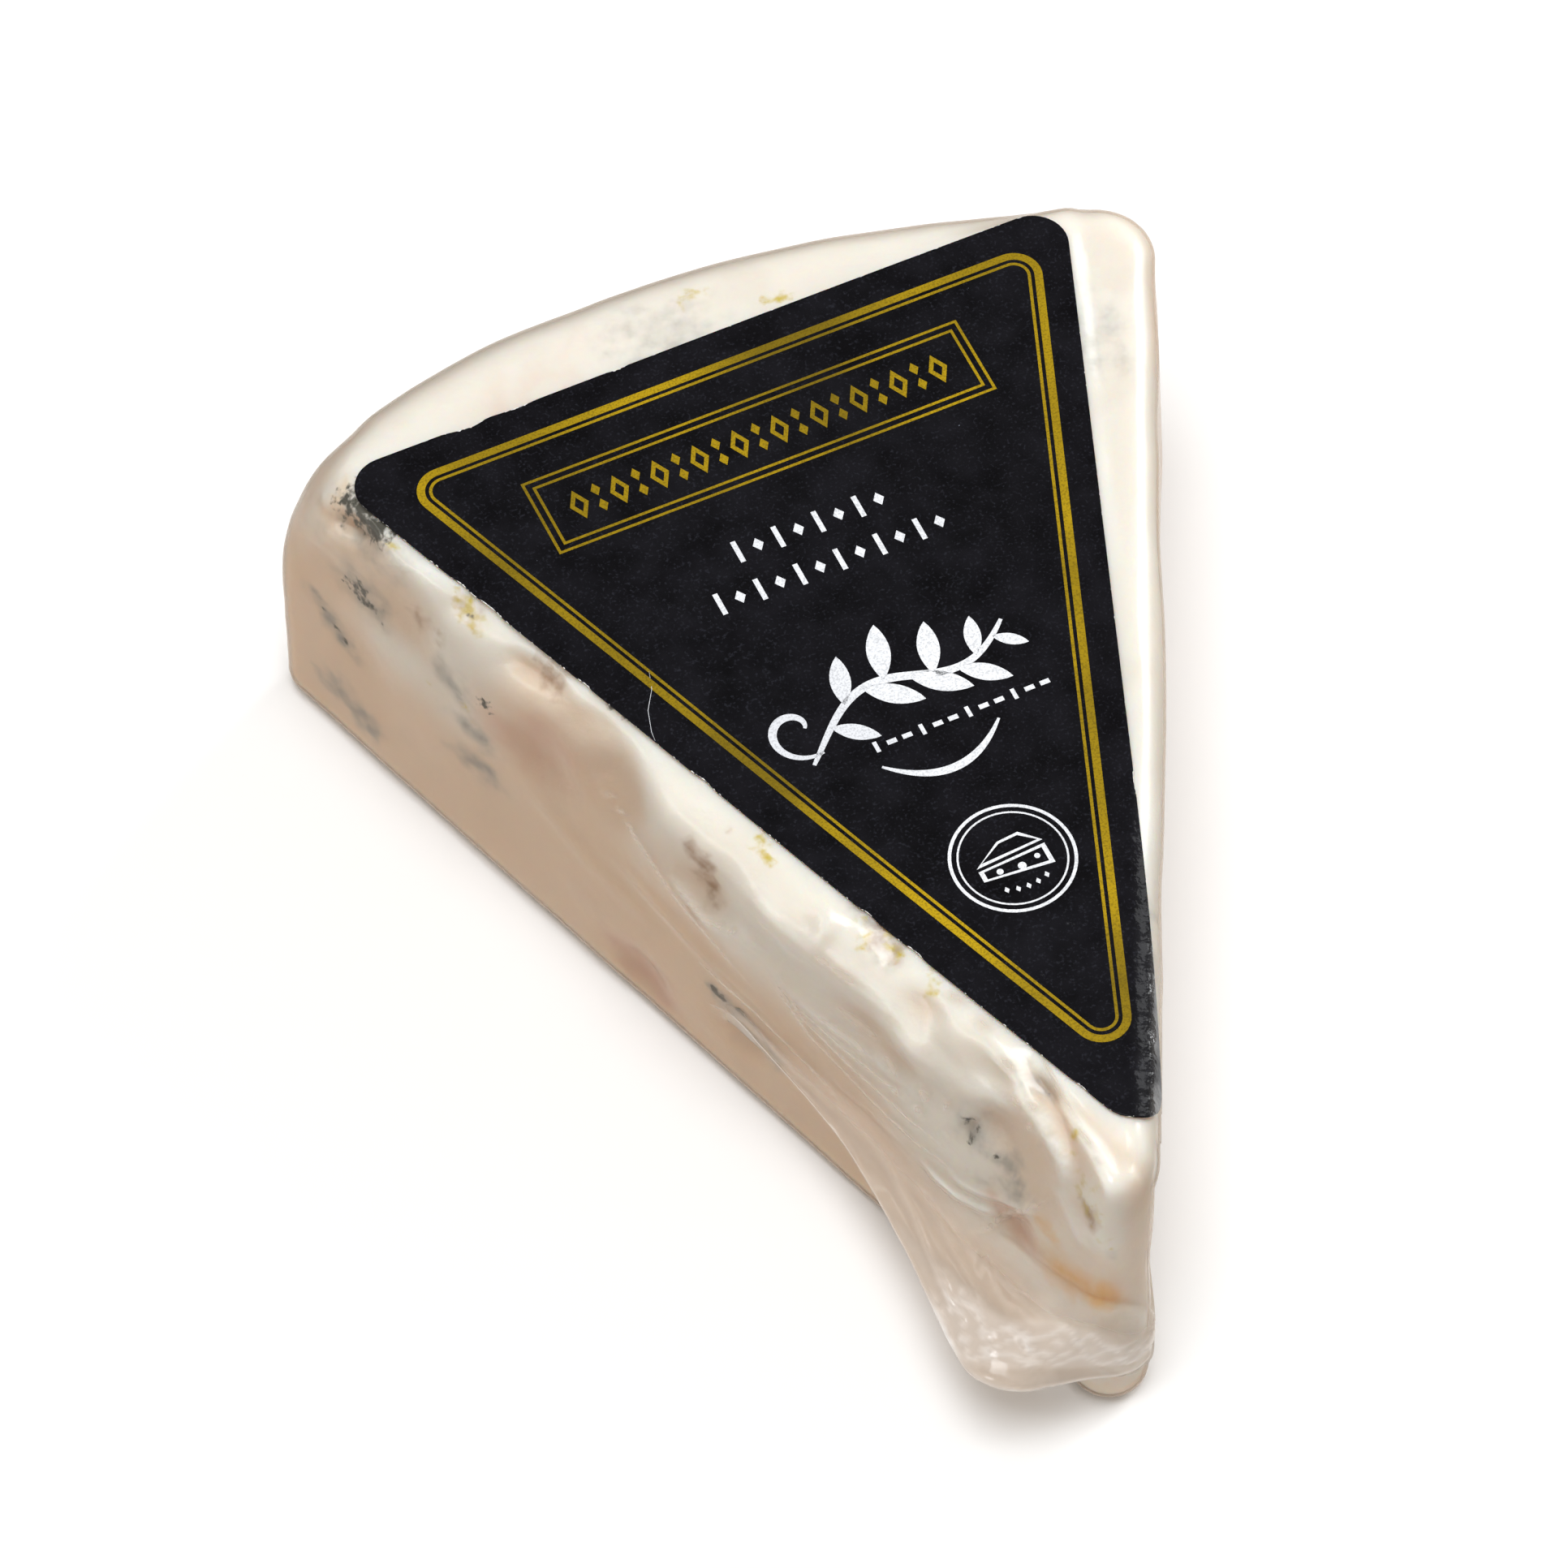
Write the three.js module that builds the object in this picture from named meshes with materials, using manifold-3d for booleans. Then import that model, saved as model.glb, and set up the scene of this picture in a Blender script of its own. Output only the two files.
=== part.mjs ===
// A wedge of blue-veined cheese, one eighth of a small wheel, sealed in clear film, with a paper label on top.
// Millimetres, +Z up. The wedge lies flat: its point is towards -Y and the curved rind side towards +Y.
// Everything is laid out from the apex, where the planes of the two cut sides meet, with the ground at z = 0.
// The last lines move the origin to the middle of the underside.
import * as THREE from "three";
import { mergeVertices } from "three/addons/utils/BufferGeometryUtils.js";
import Module from "manifold-3d";

const wasm = await Module();
wasm.setup();

// The cheese
const WHEEL_RADIUS = 118.5; // of the wheel that the wedge is cut from
const WEDGE_ANGLE = 45; // degrees, between the two cut sides
const CHEESE_HEIGHT = 35.2;
const POINT_RADIUS = 3.5; // upright round where the two cut sides meet
const RIGHT_CORNER_RADIUS = 7; // upright rounds between a cut side and the rind side
const LEFT_CORNER_RADIUS = 3;
const LEFT_CORNER_WEAR = 11; // what wear adds to the left corner's round at the top
const LEFT_CORNER_WORN_FROM = 0.5; // share of the height above which it is worn
const CUT_EDGE_RADIUS = 3; // top edge along the cut sides
const RIND_EDGE_RADIUS = 6; // top edge along the rind side
const FOOT_EDGE_RADIUS = 2; // bottom edge all round
const LEAST_INNER_RADIUS = 0.3; // what an edge leaves of the upright round that it follows

// The film, which follows the cheese on every side
const FILM_CLEARANCE = 0.3; // between the cheese and the film
const FILM_THICKNESS = 0.4;

// The tail of spare film at the point: two layers, with a narrow mouth between them.
// Each row is a place on the left cut side: distance from the apex along it, distance out from it, height.
const TAIL_EDGE = [
  [56, -1.5, 15],
  [45, 0.9, 12.2],
  [38, 1.6, 11],
  [29, 3.9, 10],
  [20, 7.4, 9.8],
  [12, 10.3, 9.8],
  [7.3, 7.3, 10.3],
  [4.6, 3, 12],
  [2, -0.7, 15.5],
];
const TAIL_ROOT = [
  [56, -2, 16],
  [40, -2, 16],
  [25, -2, 15],
  [12, -2.5, 15],
  [9, -3, 17],
];
const TAIL_THICKNESS = 1.2;
const MOUTH_HEIGHT = 0.35;
const MOUTH_SPAN = [0.52, 0.66]; // shares of the tail's length between which it is open
const MOUTH_OVERSHOOT = 1.4; // how far past the free edge the cut for the mouth runs, as a share of the tail's width

// The label, a triangle with round corners
const LABEL_REAR_MARGIN = 10.8; // from the rind side to the label's rear edge
const LABEL_POINT_MARGIN = 6.7; // from the apex to the label's point, before its corners are rounded
const LABEL_SIDE_MARGIN = 6.5; // from each cut side to the label's rear corners
const LABEL_SHIFT = -2.3; // sideways, of the middle of the rear edge
const LABEL_TURN = 4.1; // degrees, anticlockwise from above
const LABEL_CORNER_RADIUS = 3.4;
const LABEL_THICKNESS = 0.3;
const LABEL_CLEARANCE = 0.3; // between the film and the label

// How finely the rounds are divided
const POINT_STEPS = 8;
const CORNER_STEPS = 6;
const RIM_STEPS = 18;
const SIDE_STEPS = 9; // up the upright sides
const EDGE_STEPS = 5;
const TAIL_STEPS = 36;
const TAIL_WIDTH_STEPS = 5;
const LABEL_SIDE_STEPS = 16;
const LABEL_RINGS = 9;
const LABEL_RING_CROWDING = 1.8; // over 1, the rings crowd towards the label's edge, where it bends

const halfAngle = THREE.MathUtils.degToRad(WEDGE_ANGLE / 2);
const cutEdge = Math.min(CUT_EDGE_RADIUS, POINT_RADIUS - LEAST_INNER_RADIUS);
const rindEdge = Math.min(RIND_EDGE_RADIUS, RIGHT_CORNER_RADIUS - LEAST_INNER_RADIUS);
const footEdge = Math.min(FOOT_EDGE_RADIUS, Math.min(POINT_RADIUS, LEFT_CORNER_RADIUS) - LEAST_INNER_RADIUS);
const cheeseFoot = FILM_THICKNESS + FILM_CLEARANCE; // height of the underside of the cheese
const filmGrowth = FILM_CLEARANCE + FILM_THICKNESS; // from the cheese to the outside of the film
const filmTop = cheeseFoot + CHEESE_HEIGHT + filmGrowth;
const rightNormal = new THREE.Vector2(Math.cos(halfAngle), -Math.sin(halfAngle));
const leftNormal = new THREE.Vector2(-Math.cos(halfAngle), -Math.sin(halfAngle));
const leftAlong = new THREE.Vector2(-Math.sin(halfAngle), Math.cos(halfAngle));

// Points of an arc in plan, each with the radius of the top edge there.
function planArc(centre, radius, from, to, steps, edgeFrom, edgeTo) {
  const points = [];
  for (let i = 0; i <= steps; i++) {
    const share = i / steps;
    const angle = THREE.MathUtils.lerp(from, to, share);
    points.push({
      place: centre.clone().add(new THREE.Vector2(Math.cos(angle), Math.sin(angle)).multiplyScalar(radius)),
      edge: THREE.MathUtils.lerp(edgeFrom, edgeTo, share),
    });
  }
  return points;
}

// The wedge's outline at one height, anticlockwise from above: the point, the right corner, the rind side, the
// left corner. The straight cut sides are what joins one arc to the next. The cut sides are moved in by cutInset
// and the rind side by rindInset, and every round shrinks as much.
function wedgeOutline(cutInset, rindInset, leftRadius) {
  const up = Math.PI / 2;
  const cornerInset = (cutInset + rindInset) / 2;
  const rimRadius = WHEEL_RADIUS - rindInset;
  const corner = (radius, side) => {
    const reach = rimRadius - radius;
    const bearing = halfAngle - Math.asin((cutInset + radius) / reach);
    return {
      centre: new THREE.Vector2(side * Math.sin(bearing), Math.cos(bearing)).multiplyScalar(reach),
      facing: up - side * bearing,
      radius,
    };
  };
  const right = corner(RIGHT_CORNER_RADIUS - cornerInset, 1);
  const left = corner(leftRadius - cornerInset, -1);
  const point = new THREE.Vector2(0, POINT_RADIUS / Math.sin(halfAngle));
  const apex = new THREE.Vector2(0, 0);
  const pointRadius = POINT_RADIUS - cutInset;
  const rim = planArc(apex, rimRadius, right.facing, left.facing, RIM_STEPS, rindEdge, rindEdge);
  return [
    ...planArc(point, pointRadius, Math.PI + halfAngle, 2 * Math.PI - halfAngle, POINT_STEPS, cutEdge, cutEdge),
    ...planArc(right.centre, right.radius, -halfAngle, right.facing, CORNER_STEPS, cutEdge, rindEdge),
    ...rim.slice(1, -1),
    ...planArc(left.centre, left.radius, left.facing, Math.PI + halfAngle, CORNER_STEPS, rindEdge, cutEdge),
  ];
}

// A closed solid from rings of points that all have the same count, each end closed by a fan to its middle.
function stackRings(rings) {
  const count = rings[0].length;
  const corners = rings.flat().flatMap((p) => p.toArray());
  const triangles = [];
  for (let r = 0; r + 1 < rings.length; r++) {
    for (let i = 0; i < count; i++) {
      const a = r * count + i;
      const b = r * count + ((i + 1) % count);
      triangles.push(a, b, b + count, a, b + count, a + count);
    }
  }
  for (const [ring, facesUp] of [[0, false], [rings.length - 1, true]]) {
    const middle = new THREE.Vector3();
    rings[ring].forEach((p) => middle.addScaledVector(p, 1 / count));
    const hub = corners.length / 3;
    corners.push(...middle.toArray());
    for (let i = 0; i < count; i++) {
      const a = ring * count + i;
      const b = ring * count + ((i + 1) % count);
      triangles.push(...(facesUp ? [a, b, hub] : [b, a, hub]));
    }
  }
  return indexedGeometry(corners, triangles);
}

function indexedGeometry(corners, triangles) {
  return new THREE.BufferGeometry()
    .setAttribute("position", new THREE.BufferAttribute(new Float32Array(corners), 3))
    .setIndex(triangles);
}

// The rounded wedge, grown outwards on all sides by growth.
function wedgeGeometry(growth) {
  const sideTop = CHEESE_HEIGHT - rindEdge;
  const rings = [];
  for (let i = 0; i <= EDGE_STEPS; i++) {
    const angle = ((1 - i / EDGE_STEPS) * Math.PI) / 2;
    const inset = footEdge - (footEdge + growth) * Math.cos(angle);
    const height = cheeseFoot + footEdge - (footEdge + growth) * Math.sin(angle);
    rings.push(wedgeOutline(inset, inset, LEFT_CORNER_RADIUS).map(({ place }) => upright(place, height)));
  }
  for (let i = 1; i < SIDE_STEPS; i++) {
    const share = i / SIDE_STEPS;
    rings.push(
      wedgeOutline(-growth, -growth, leftRadiusAt(share * sideTop)).map(({ place, edge }) =>
        upright(place, THREE.MathUtils.lerp(cheeseFoot + footEdge, cheeseFoot + CHEESE_HEIGHT - edge, share)),
      ),
    );
  }
  for (let i = 0; i <= EDGE_STEPS; i++) {
    const angle = ((i / EDGE_STEPS) * Math.PI) / 2;
    const inset = (radius) => radius - (radius + growth) * Math.cos(angle);
    const leftRadius = leftRadiusAt(sideTop + rindEdge * Math.sin(angle));
    rings.push(
      wedgeOutline(inset(cutEdge), inset(rindEdge), leftRadius).map(({ place, edge }) =>
        upright(place, cheeseFoot + CHEESE_HEIGHT - edge + (edge + growth) * Math.sin(angle)),
      ),
    );
  }
  return stackRings(rings);
}

function upright(place, height) {
  return new THREE.Vector3(place.x, place.y, height);
}

// The round of the left corner at a height over the foot of the cheese.
function leftRadiusAt(height) {
  const worn = Math.max(0, (height / CHEESE_HEIGHT - LEFT_CORNER_WORN_FROM) / (1 - LEFT_CORNER_WORN_FROM));
  return LEFT_CORNER_RADIUS + LEFT_CORNER_WEAR * worn ** 2;
}

// A smooth curve through rows of (along the left cut side, out from it, height).
function tailCurve(rows) {
  const points = rows.map(([along, out, height]) => {
    const plan = leftAlong.clone().multiplyScalar(along).addScaledVector(leftNormal, out);
    return new THREE.Vector3(plan.x, plan.y, height);
  });
  return new THREE.CatmullRomCurve3(points, false, "centripetal");
}

// The tail between its root, which lies inside the wedge, and its free edge, as a sheet of the given thickness.
// span picks a stretch of its length, and reach says how far across it goes, 1 being the free edge.
function tailGeometry(thickness, span, reach) {
  const root = tailCurve(TAIL_ROOT);
  const edge = tailCurve(TAIL_EDGE);
  const sections = [];
  for (let i = 0; i <= TAIL_STEPS; i++) {
    const share = THREE.MathUtils.lerp(span[0], span[1], i / TAIL_STEPS);
    const from = root.getPointAt(share);
    const to = edge.getPointAt(share);
    const across = [];
    for (let j = 0; j <= TAIL_WIDTH_STEPS; j++) {
      across.push(from.clone().lerp(to, (reach * j) / TAIL_WIDTH_STEPS));
    }
    const lift = new THREE.Vector3(0, 0, thickness / 2);
    const over = across.map((p) => p.clone().add(lift));
    const under = across.map((p) => p.clone().sub(lift)).reverse();
    sections.push([...over, ...under]);
  }
  return stackRings(sections);
}

// The label's outline in its own flat plane: rear edge on y = 0, point towards -y.
function labelOutline() {
  const rear = WHEEL_RADIUS - LABEL_REAR_MARGIN;
  const length = rear - LABEL_POINT_MARGIN;
  const halfBase = rear * Math.tan(halfAngle) - LABEL_SIDE_MARGIN;
  const corners = [
    new THREE.Vector2(0, -length),
    new THREE.Vector2(halfBase, 0),
    new THREE.Vector2(-halfBase, 0),
  ];
  const rounds = corners.map((corner, i) => {
    const before = corners[(i + 2) % 3].clone().sub(corner).normalize();
    const after = corners[(i + 1) % 3].clone().sub(corner).normalize();
    const opening = Math.acos(before.dot(after));
    const bisector = before.clone().add(after).normalize();
    const centre = corner.clone().addScaledVector(bisector, LABEL_CORNER_RADIUS / Math.sin(opening / 2));
    const middle = bisector.negate().angle();
    const sweep = (Math.PI - opening) / 2;
    const round = [];
    for (let k = 0; k <= CORNER_STEPS; k++) {
      const angle = middle + sweep * ((2 * k) / CORNER_STEPS - 1);
      round.push(new THREE.Vector2(Math.cos(angle), Math.sin(angle)).multiplyScalar(LABEL_CORNER_RADIUS).add(centre));
    }
    return round;
  });
  return rounds.flatMap((round, i) => {
    const start = round.at(-1);
    const end = rounds[(i + 1) % 3][0];
    const side = [];
    for (let k = 1; k < LABEL_SIDE_STEPS; k++) side.push(start.clone().lerp(end, k / LABEL_SIDE_STEPS));
    return [...round, ...side];
  });
}

// A flat point of the label laid on the pack, depth above the label's underside.
// Past the flat top, the paper bends down round the top edge of the cut side.
function layLabel(flat, depth) {
  const plan = flat
    .clone()
    .rotateAround(new THREE.Vector2(0, 0), THREE.MathUtils.degToRad(LABEL_TURN))
    .add(new THREE.Vector2(LABEL_SHIFT, WHEEL_RADIUS - LABEL_REAR_MARGIN));
  let height = filmTop + LABEL_CLEARANCE + depth;
  const bend = cutEdge + filmGrowth + LABEL_CLEARANCE;
  for (const normal of [leftNormal, rightNormal]) {
    const past = plan.dot(normal) + cutEdge;
    if (past <= 0) continue;
    const turned = Math.min(past / (bend + LABEL_THICKNESS / 2), Math.PI / 2);
    const straight = past - turned * (bend + LABEL_THICKNESS / 2);
    plan.addScaledVector(normal, (bend + depth) * Math.sin(turned) - past);
    height -= (bend + depth) * (1 - Math.cos(turned)) + straight;
  }
  return new THREE.Vector3(plan.x, plan.y, height);
}

// The label as a closed sheet: rings that shrink towards its middle, on top and underneath.
function labelGeometry() {
  const outline = labelOutline();
  const middle = new THREE.Vector2();
  outline.forEach((p) => middle.addScaledVector(p, 1 / outline.length));
  const ring = (r, depth) => {
    const share = 1 - (1 - r / LABEL_RINGS) ** LABEL_RING_CROWDING;
    return outline.map((p) => layLabel(middle.clone().lerp(p, share), depth));
  };
  const rings = [];
  for (let r = 1; r <= LABEL_RINGS; r++) rings.push(ring(r, 0));
  for (let r = LABEL_RINGS; r >= 1; r--) rings.push(ring(r, LABEL_THICKNESS));
  return stackRings(rings);
}

function solidFrom(geometry) {
  const bare = new THREE.BufferGeometry()
    .setAttribute("position", geometry.getAttribute("position"))
    .setIndex(geometry.getIndex());
  const merged = mergeVertices(bare, 1e-4);
  return new wasm.Manifold(
    new wasm.Mesh({
      numProp: 3,
      vertProperties: merged.attributes.position.array,
      triVerts: new Uint32Array(merged.index.array),
    }),
  );
}

function geometryFrom(solid) {
  const mesh = solid.getMesh();
  return indexedGeometry(Array.from(mesh.vertProperties), Array.from(mesh.triVerts));
}

// The film: the wedge's outside and the tail, less the room for the cheese and the mouth of the tail.
function filmGeometry() {
  const outside = solidFrom(wedgeGeometry(filmGrowth));
  const tail = solidFrom(tailGeometry(TAIL_THICKNESS, [0, 1], 1));
  const room = solidFrom(wedgeGeometry(FILM_CLEARANCE));
  const mouth = solidFrom(tailGeometry(MOUTH_HEIGHT, MOUTH_SPAN, MOUTH_OVERSHOOT));
  return geometryFrom(outside.add(tail).subtract(room).subtract(mouth));
}

function piece(name, geometry, look) {
  const mesh = new THREE.Mesh(geometry, new THREE.MeshStandardMaterial(look));
  mesh.name = name;
  return mesh;
}

const cheesePack = new THREE.Group();
cheesePack.name = "cheese_pack";
cheesePack.add(
  piece("cheese_wedge", wedgeGeometry(0), { color: 0xeee3d2, roughness: 0.45, metalness: 0 }),
  piece("film_wrap", filmGeometry(), {
    color: 0xf6f1ec,
    roughness: 0.12,
    metalness: 0,
    transparent: true,
    opacity: 0.3,
  }),
  piece("label", labelGeometry(), { color: 0x17161a, roughness: 0.5, metalness: 0 }),
);

// The origin goes to the middle of the underside.
const box = new THREE.Box3().setFromObject(cheesePack);
const middle = box.getCenter(new THREE.Vector3());
cheesePack.position.set(-middle.x, -middle.y, -box.min.z);

export default cheesePack;
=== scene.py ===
"""A wedge of blue-veined cheese in shrunk film, with its label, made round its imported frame.

Pieces are worked out in millimetres from the apex, the point where the planes of the two cut sides
would meet on the table, and turned into metres in the frame's own place when their meshes are made.
"""
import math

import bpy
import numpy as np
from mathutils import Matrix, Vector, noise


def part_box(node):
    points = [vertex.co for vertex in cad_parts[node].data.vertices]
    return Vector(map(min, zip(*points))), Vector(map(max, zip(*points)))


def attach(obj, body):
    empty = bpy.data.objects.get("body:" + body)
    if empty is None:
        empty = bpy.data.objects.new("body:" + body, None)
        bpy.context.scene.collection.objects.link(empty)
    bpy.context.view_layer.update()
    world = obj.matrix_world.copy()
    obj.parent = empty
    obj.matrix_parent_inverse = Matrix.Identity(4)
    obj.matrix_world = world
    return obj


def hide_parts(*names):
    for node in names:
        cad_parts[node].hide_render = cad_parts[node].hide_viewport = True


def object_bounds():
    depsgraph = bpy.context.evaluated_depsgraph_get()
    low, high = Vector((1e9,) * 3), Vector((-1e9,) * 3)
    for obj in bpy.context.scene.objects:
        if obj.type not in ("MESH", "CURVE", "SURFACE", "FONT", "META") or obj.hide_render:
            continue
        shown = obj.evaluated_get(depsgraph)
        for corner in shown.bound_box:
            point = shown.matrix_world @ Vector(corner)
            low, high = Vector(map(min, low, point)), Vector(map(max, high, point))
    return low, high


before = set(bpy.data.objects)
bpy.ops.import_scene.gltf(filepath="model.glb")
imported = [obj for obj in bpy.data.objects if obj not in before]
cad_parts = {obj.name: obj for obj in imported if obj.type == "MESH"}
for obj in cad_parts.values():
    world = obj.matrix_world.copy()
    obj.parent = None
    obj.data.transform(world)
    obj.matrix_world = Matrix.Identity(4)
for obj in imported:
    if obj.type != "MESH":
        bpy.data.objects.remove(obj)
cad_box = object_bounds()

# ---------------------------------------------------------------------------------------------
# The table and the light
# A plain pale table under one broad soft light. A second stands to the right and behind, so the left
# cut side lies in soft shade and the label's bend shines, and a low strip on the left lifts the shade.
# ---------------------------------------------------------------------------------------------
view_turn = math.radians(21.1)
view_tilt = math.radians(56.08)
view_distance = 0.832
view_point = Vector((-0.0082, 0.0082, 0.0186))

camera_data = bpy.data.cameras.new("camera")
camera_data.lens = 205
camera_data.sensor_width = 36
camera_data.clip_start = 0.05
camera_data.clip_end = 20
camera = bpy.data.objects.new("camera", camera_data)
bpy.context.scene.collection.objects.link(camera)
towards_camera = Vector(
    (
        -math.sin(view_turn) * math.cos(view_tilt),
        -math.cos(view_turn) * math.cos(view_tilt),
        math.sin(view_tilt),
    )
)
camera.location = view_point + view_distance * towards_camera
camera.rotation_euler = (-towards_camera).to_track_quat("-Z", "Y").to_euler()
bpy.context.scene.camera = camera
bpy.context.scene.view_settings.view_transform = "Standard"


def soft_light(name, place, width, height, power, tint):
    """A softbox that faces the middle of the pack."""
    data = bpy.data.lights.new(name, "AREA")
    data.shape = "RECTANGLE"
    data.size = width
    data.size_y = height
    data.energy = power
    data.color = tint
    light = bpy.data.objects.new(name, data)
    bpy.context.scene.collection.objects.link(light)
    light.location = place
    light.rotation_euler = (Vector((0, 0, 0.02)) - Vector(place)).to_track_quat("-Z", "Y").to_euler()
    return light


soft_light("overhead", (-0.14, -0.16, 1.2), 0.7, 0.7, 12.2, (0.96, 0.98, 1))
soft_light("right_rear", (1.0, 0.42, 0.6), 0.5, 0.6, 7.5, (0.96, 0.98, 1))
soft_light("left_low", (-1.05, 0.0, 0.42), 0.9, 0.16, 1.6, (1, 0.96, 0.92))

world = bpy.data.worlds.new("studio")
world.use_nodes = True
world.node_tree.nodes["Background"].inputs["Color"].default_value = (1, 0.93, 0.85, 1)
world.node_tree.nodes["Background"].inputs["Strength"].default_value = 0.38
bpy.context.scene.world = world

bpy.ops.mesh.primitive_plane_add(size=6, location=(0, 0, cad_box[0][2]))
table = bpy.context.object
table.name = "table"
table_paint = bpy.data.materials.new("table_paint")
table_paint.use_nodes = True
table_paint.node_tree.nodes["Principled BSDF"].inputs["Base Color"].default_value = (0.9, 0.9, 0.9, 1)
table_paint.node_tree.nodes["Principled BSDF"].inputs["Roughness"].default_value = 0.9
table_paint.node_tree.nodes["Principled BSDF"].inputs["Specular IOR Level"].default_value = 0.1
table.data.materials.append(table_paint)

# ---------------------------------------------------------------------------------------------
# The cheese
# One eighth of a small wheel. The two cut sides are soft and uneven where the wire went through open
# veins, the shoulder above the left one has sagged in a few places, and mould shows in the holes.
# ---------------------------------------------------------------------------------------------
half_angle = math.radians(45) / 2
point_round = 3.5
right_corner_round = 7.0
left_corner_round = 3.0
left_corner_wear = 11.0  # what wear adds to the left corner's round at the top
worn_from = 0.5  # share of the height above which it is worn
cut_shoulder = 3.0  # how far in from a cut side the flat top starts
rind_shoulder = 6.0
foot_round = 2.0
cheese_low, cheese_high = (np.array(v) * 1000 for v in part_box("cheese_wedge"))
cheese_height = cheese_high[2] - cheese_low[2]
cheese_foot = cheese_low[2]
wheel_radius = cheese_high[1] - cheese_low[1] + point_round * (1 / math.sin(half_angle) - 1)
right_reach = wheel_radius - right_corner_round
right_bearing = half_angle - math.asin(right_corner_round / right_reach)
apex_x = cheese_high[0] - right_reach * math.sin(right_bearing) - right_corner_round
apex = np.array([apex_x, cheese_high[1] - wheel_radius, 0.0])
left_along = np.array([-math.sin(half_angle), math.cos(half_angle)])
left_out = np.array([-math.cos(half_angle), -math.sin(half_angle)])
right_along = np.array([math.sin(half_angle), math.cos(half_angle)])
right_out = np.array([math.cos(half_angle), -math.sin(half_angle)])
top_height = cheese_foot + cheese_height

# How far down the left side its sagged shoulder starts: (distance from the apex, depth).
left_sag = [
    (0, 8), (9, 8), (14, 12), (20, 14.5), (27, 14.5), (38, 11), (48, 11.5), (59, 8), (70, 7),
    (79, 9.5), (88, 7.5), (96, 9.5), (105, 8), (112, 6),
]
# How much further in than elsewhere the flat top starts along it, in the same way.
left_slump = [
    (8.5, 0), (13, 0.8), (18, 1.9), (25, 3.4), (32, 4.2), (40, 3.9), (50, 3), (60, 2), (70, 2.6),
    (79, 3.4), (88, 2.8), (96, 3.4), (104, 2.4), (112, 0),
]
# The right shoulder is deeper only beside the point.
right_sag = [(8, 4.6), (18, 3)]

# The label's flat outline, needed here because the label presses its bed flat.
label_rear_margin = 10.8
label_rear = wheel_radius - label_rear_margin
label_point_margin = 6.7
label_side_margin = 6.5
label_shift = -2.3
label_turn = math.radians(4.1)
label_length = label_rear - label_point_margin
label_half_base = label_rear * math.tan(half_angle) - label_side_margin


# Points along each stretch of the outline, anticlockwise from above from the left end of the point's round.
stretches = {
    "point": 26,
    "right_side": 136,
    "right_corner": 22,
    "rind": 96,
    "left_corner": 30,
    "left_side": 176,
}


def wedge_outline(cut_in, rind_in, left_round):
    """The outline at one height, the cut sides and the rind moved in: points and outward normals."""
    rim = wheel_radius - rind_in
    corner_in = (cut_in + rind_in) / 2

    def arc(name, centre, radius, start, end):
        angles = start + (end - start) * np.arange(stretches[name]) / stretches[name]
        out = np.column_stack([np.cos(angles), np.sin(angles)])
        return centre + radius * out, out

    def straight(name, start, end, out):
        shares = np.arange(stretches[name])[:, None] / stretches[name]
        return start + (end - start) * shares, np.tile(out, (len(shares), 1))

    def corner(radius, side):
        reach = rim - radius
        bearing = half_angle - math.asin((cut_in + radius) / reach)
        return reach * np.array([side * math.sin(bearing), math.cos(bearing)]), math.pi / 2 - side * bearing

    point_centre = np.array([0, point_round / math.sin(half_angle)])
    tip = point_round - cut_in
    right_round, left_now = right_corner_round - corner_in, left_round - corner_in
    right_centre, right_facing = corner(right_round, 1)
    left_centre, left_facing = corner(left_now, -1)
    right_start, right_end = point_centre + tip * right_out, right_centre + right_round * right_out
    left_start, left_end = left_centre + left_now * left_out, point_centre + tip * left_out
    parts = [
        arc("point", point_centre, tip, math.pi + half_angle, 2 * math.pi - half_angle),
        straight("right_side", right_start, right_end, right_out),
        arc("right_corner", right_centre, right_round, -half_angle, right_facing),
        arc("rind", np.zeros(2), rim, right_facing, left_facing),
        arc("left_corner", left_centre, left_now, left_facing, math.pi + half_angle),
        straight("left_side", left_start, left_end, left_out),
    ]
    return np.vstack([places for places, _ in parts]), np.vstack([out for _, out in parts])


def along_outline(right_side, rind, left_corner_end, left_side):
    """A value for each point of the outline, which changes evenly round the point and the corners."""
    return np.concatenate([
        np.linspace(left_side[-1], right_side[0], stretches["point"]),
        right_side,
        np.linspace(right_side[-1], rind, stretches["right_corner"]),
        np.full(stretches["rind"], rind),
        np.linspace(rind, left_corner_end, stretches["left_corner"]),
        left_side,
    ])


plan, plan_out = wedge_outline(0, 0, left_corner_round)
left_run = plan[-stretches["left_side"]:] @ left_along
right_run = plan[stretches["point"]:][: stretches["right_side"]] @ right_along
sag = np.interp(left_run, *zip(*left_sag))
right_depth = np.interp(right_run, *zip(*right_sag))
down = along_outline(right_depth, rind_shoulder, sag[0], sag)
slump = np.interp(left_run, *zip(*left_slump))
across = along_outline(
    np.full(len(right_run), cut_shoulder),
    rind_shoulder,
    cut_shoulder,
    np.full(len(left_run), cut_shoulder),
)
slump = np.concatenate([np.zeros(len(plan) - len(slump)), slump])
top_middle = np.array([0, 0.62 * wheel_radius])

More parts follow.
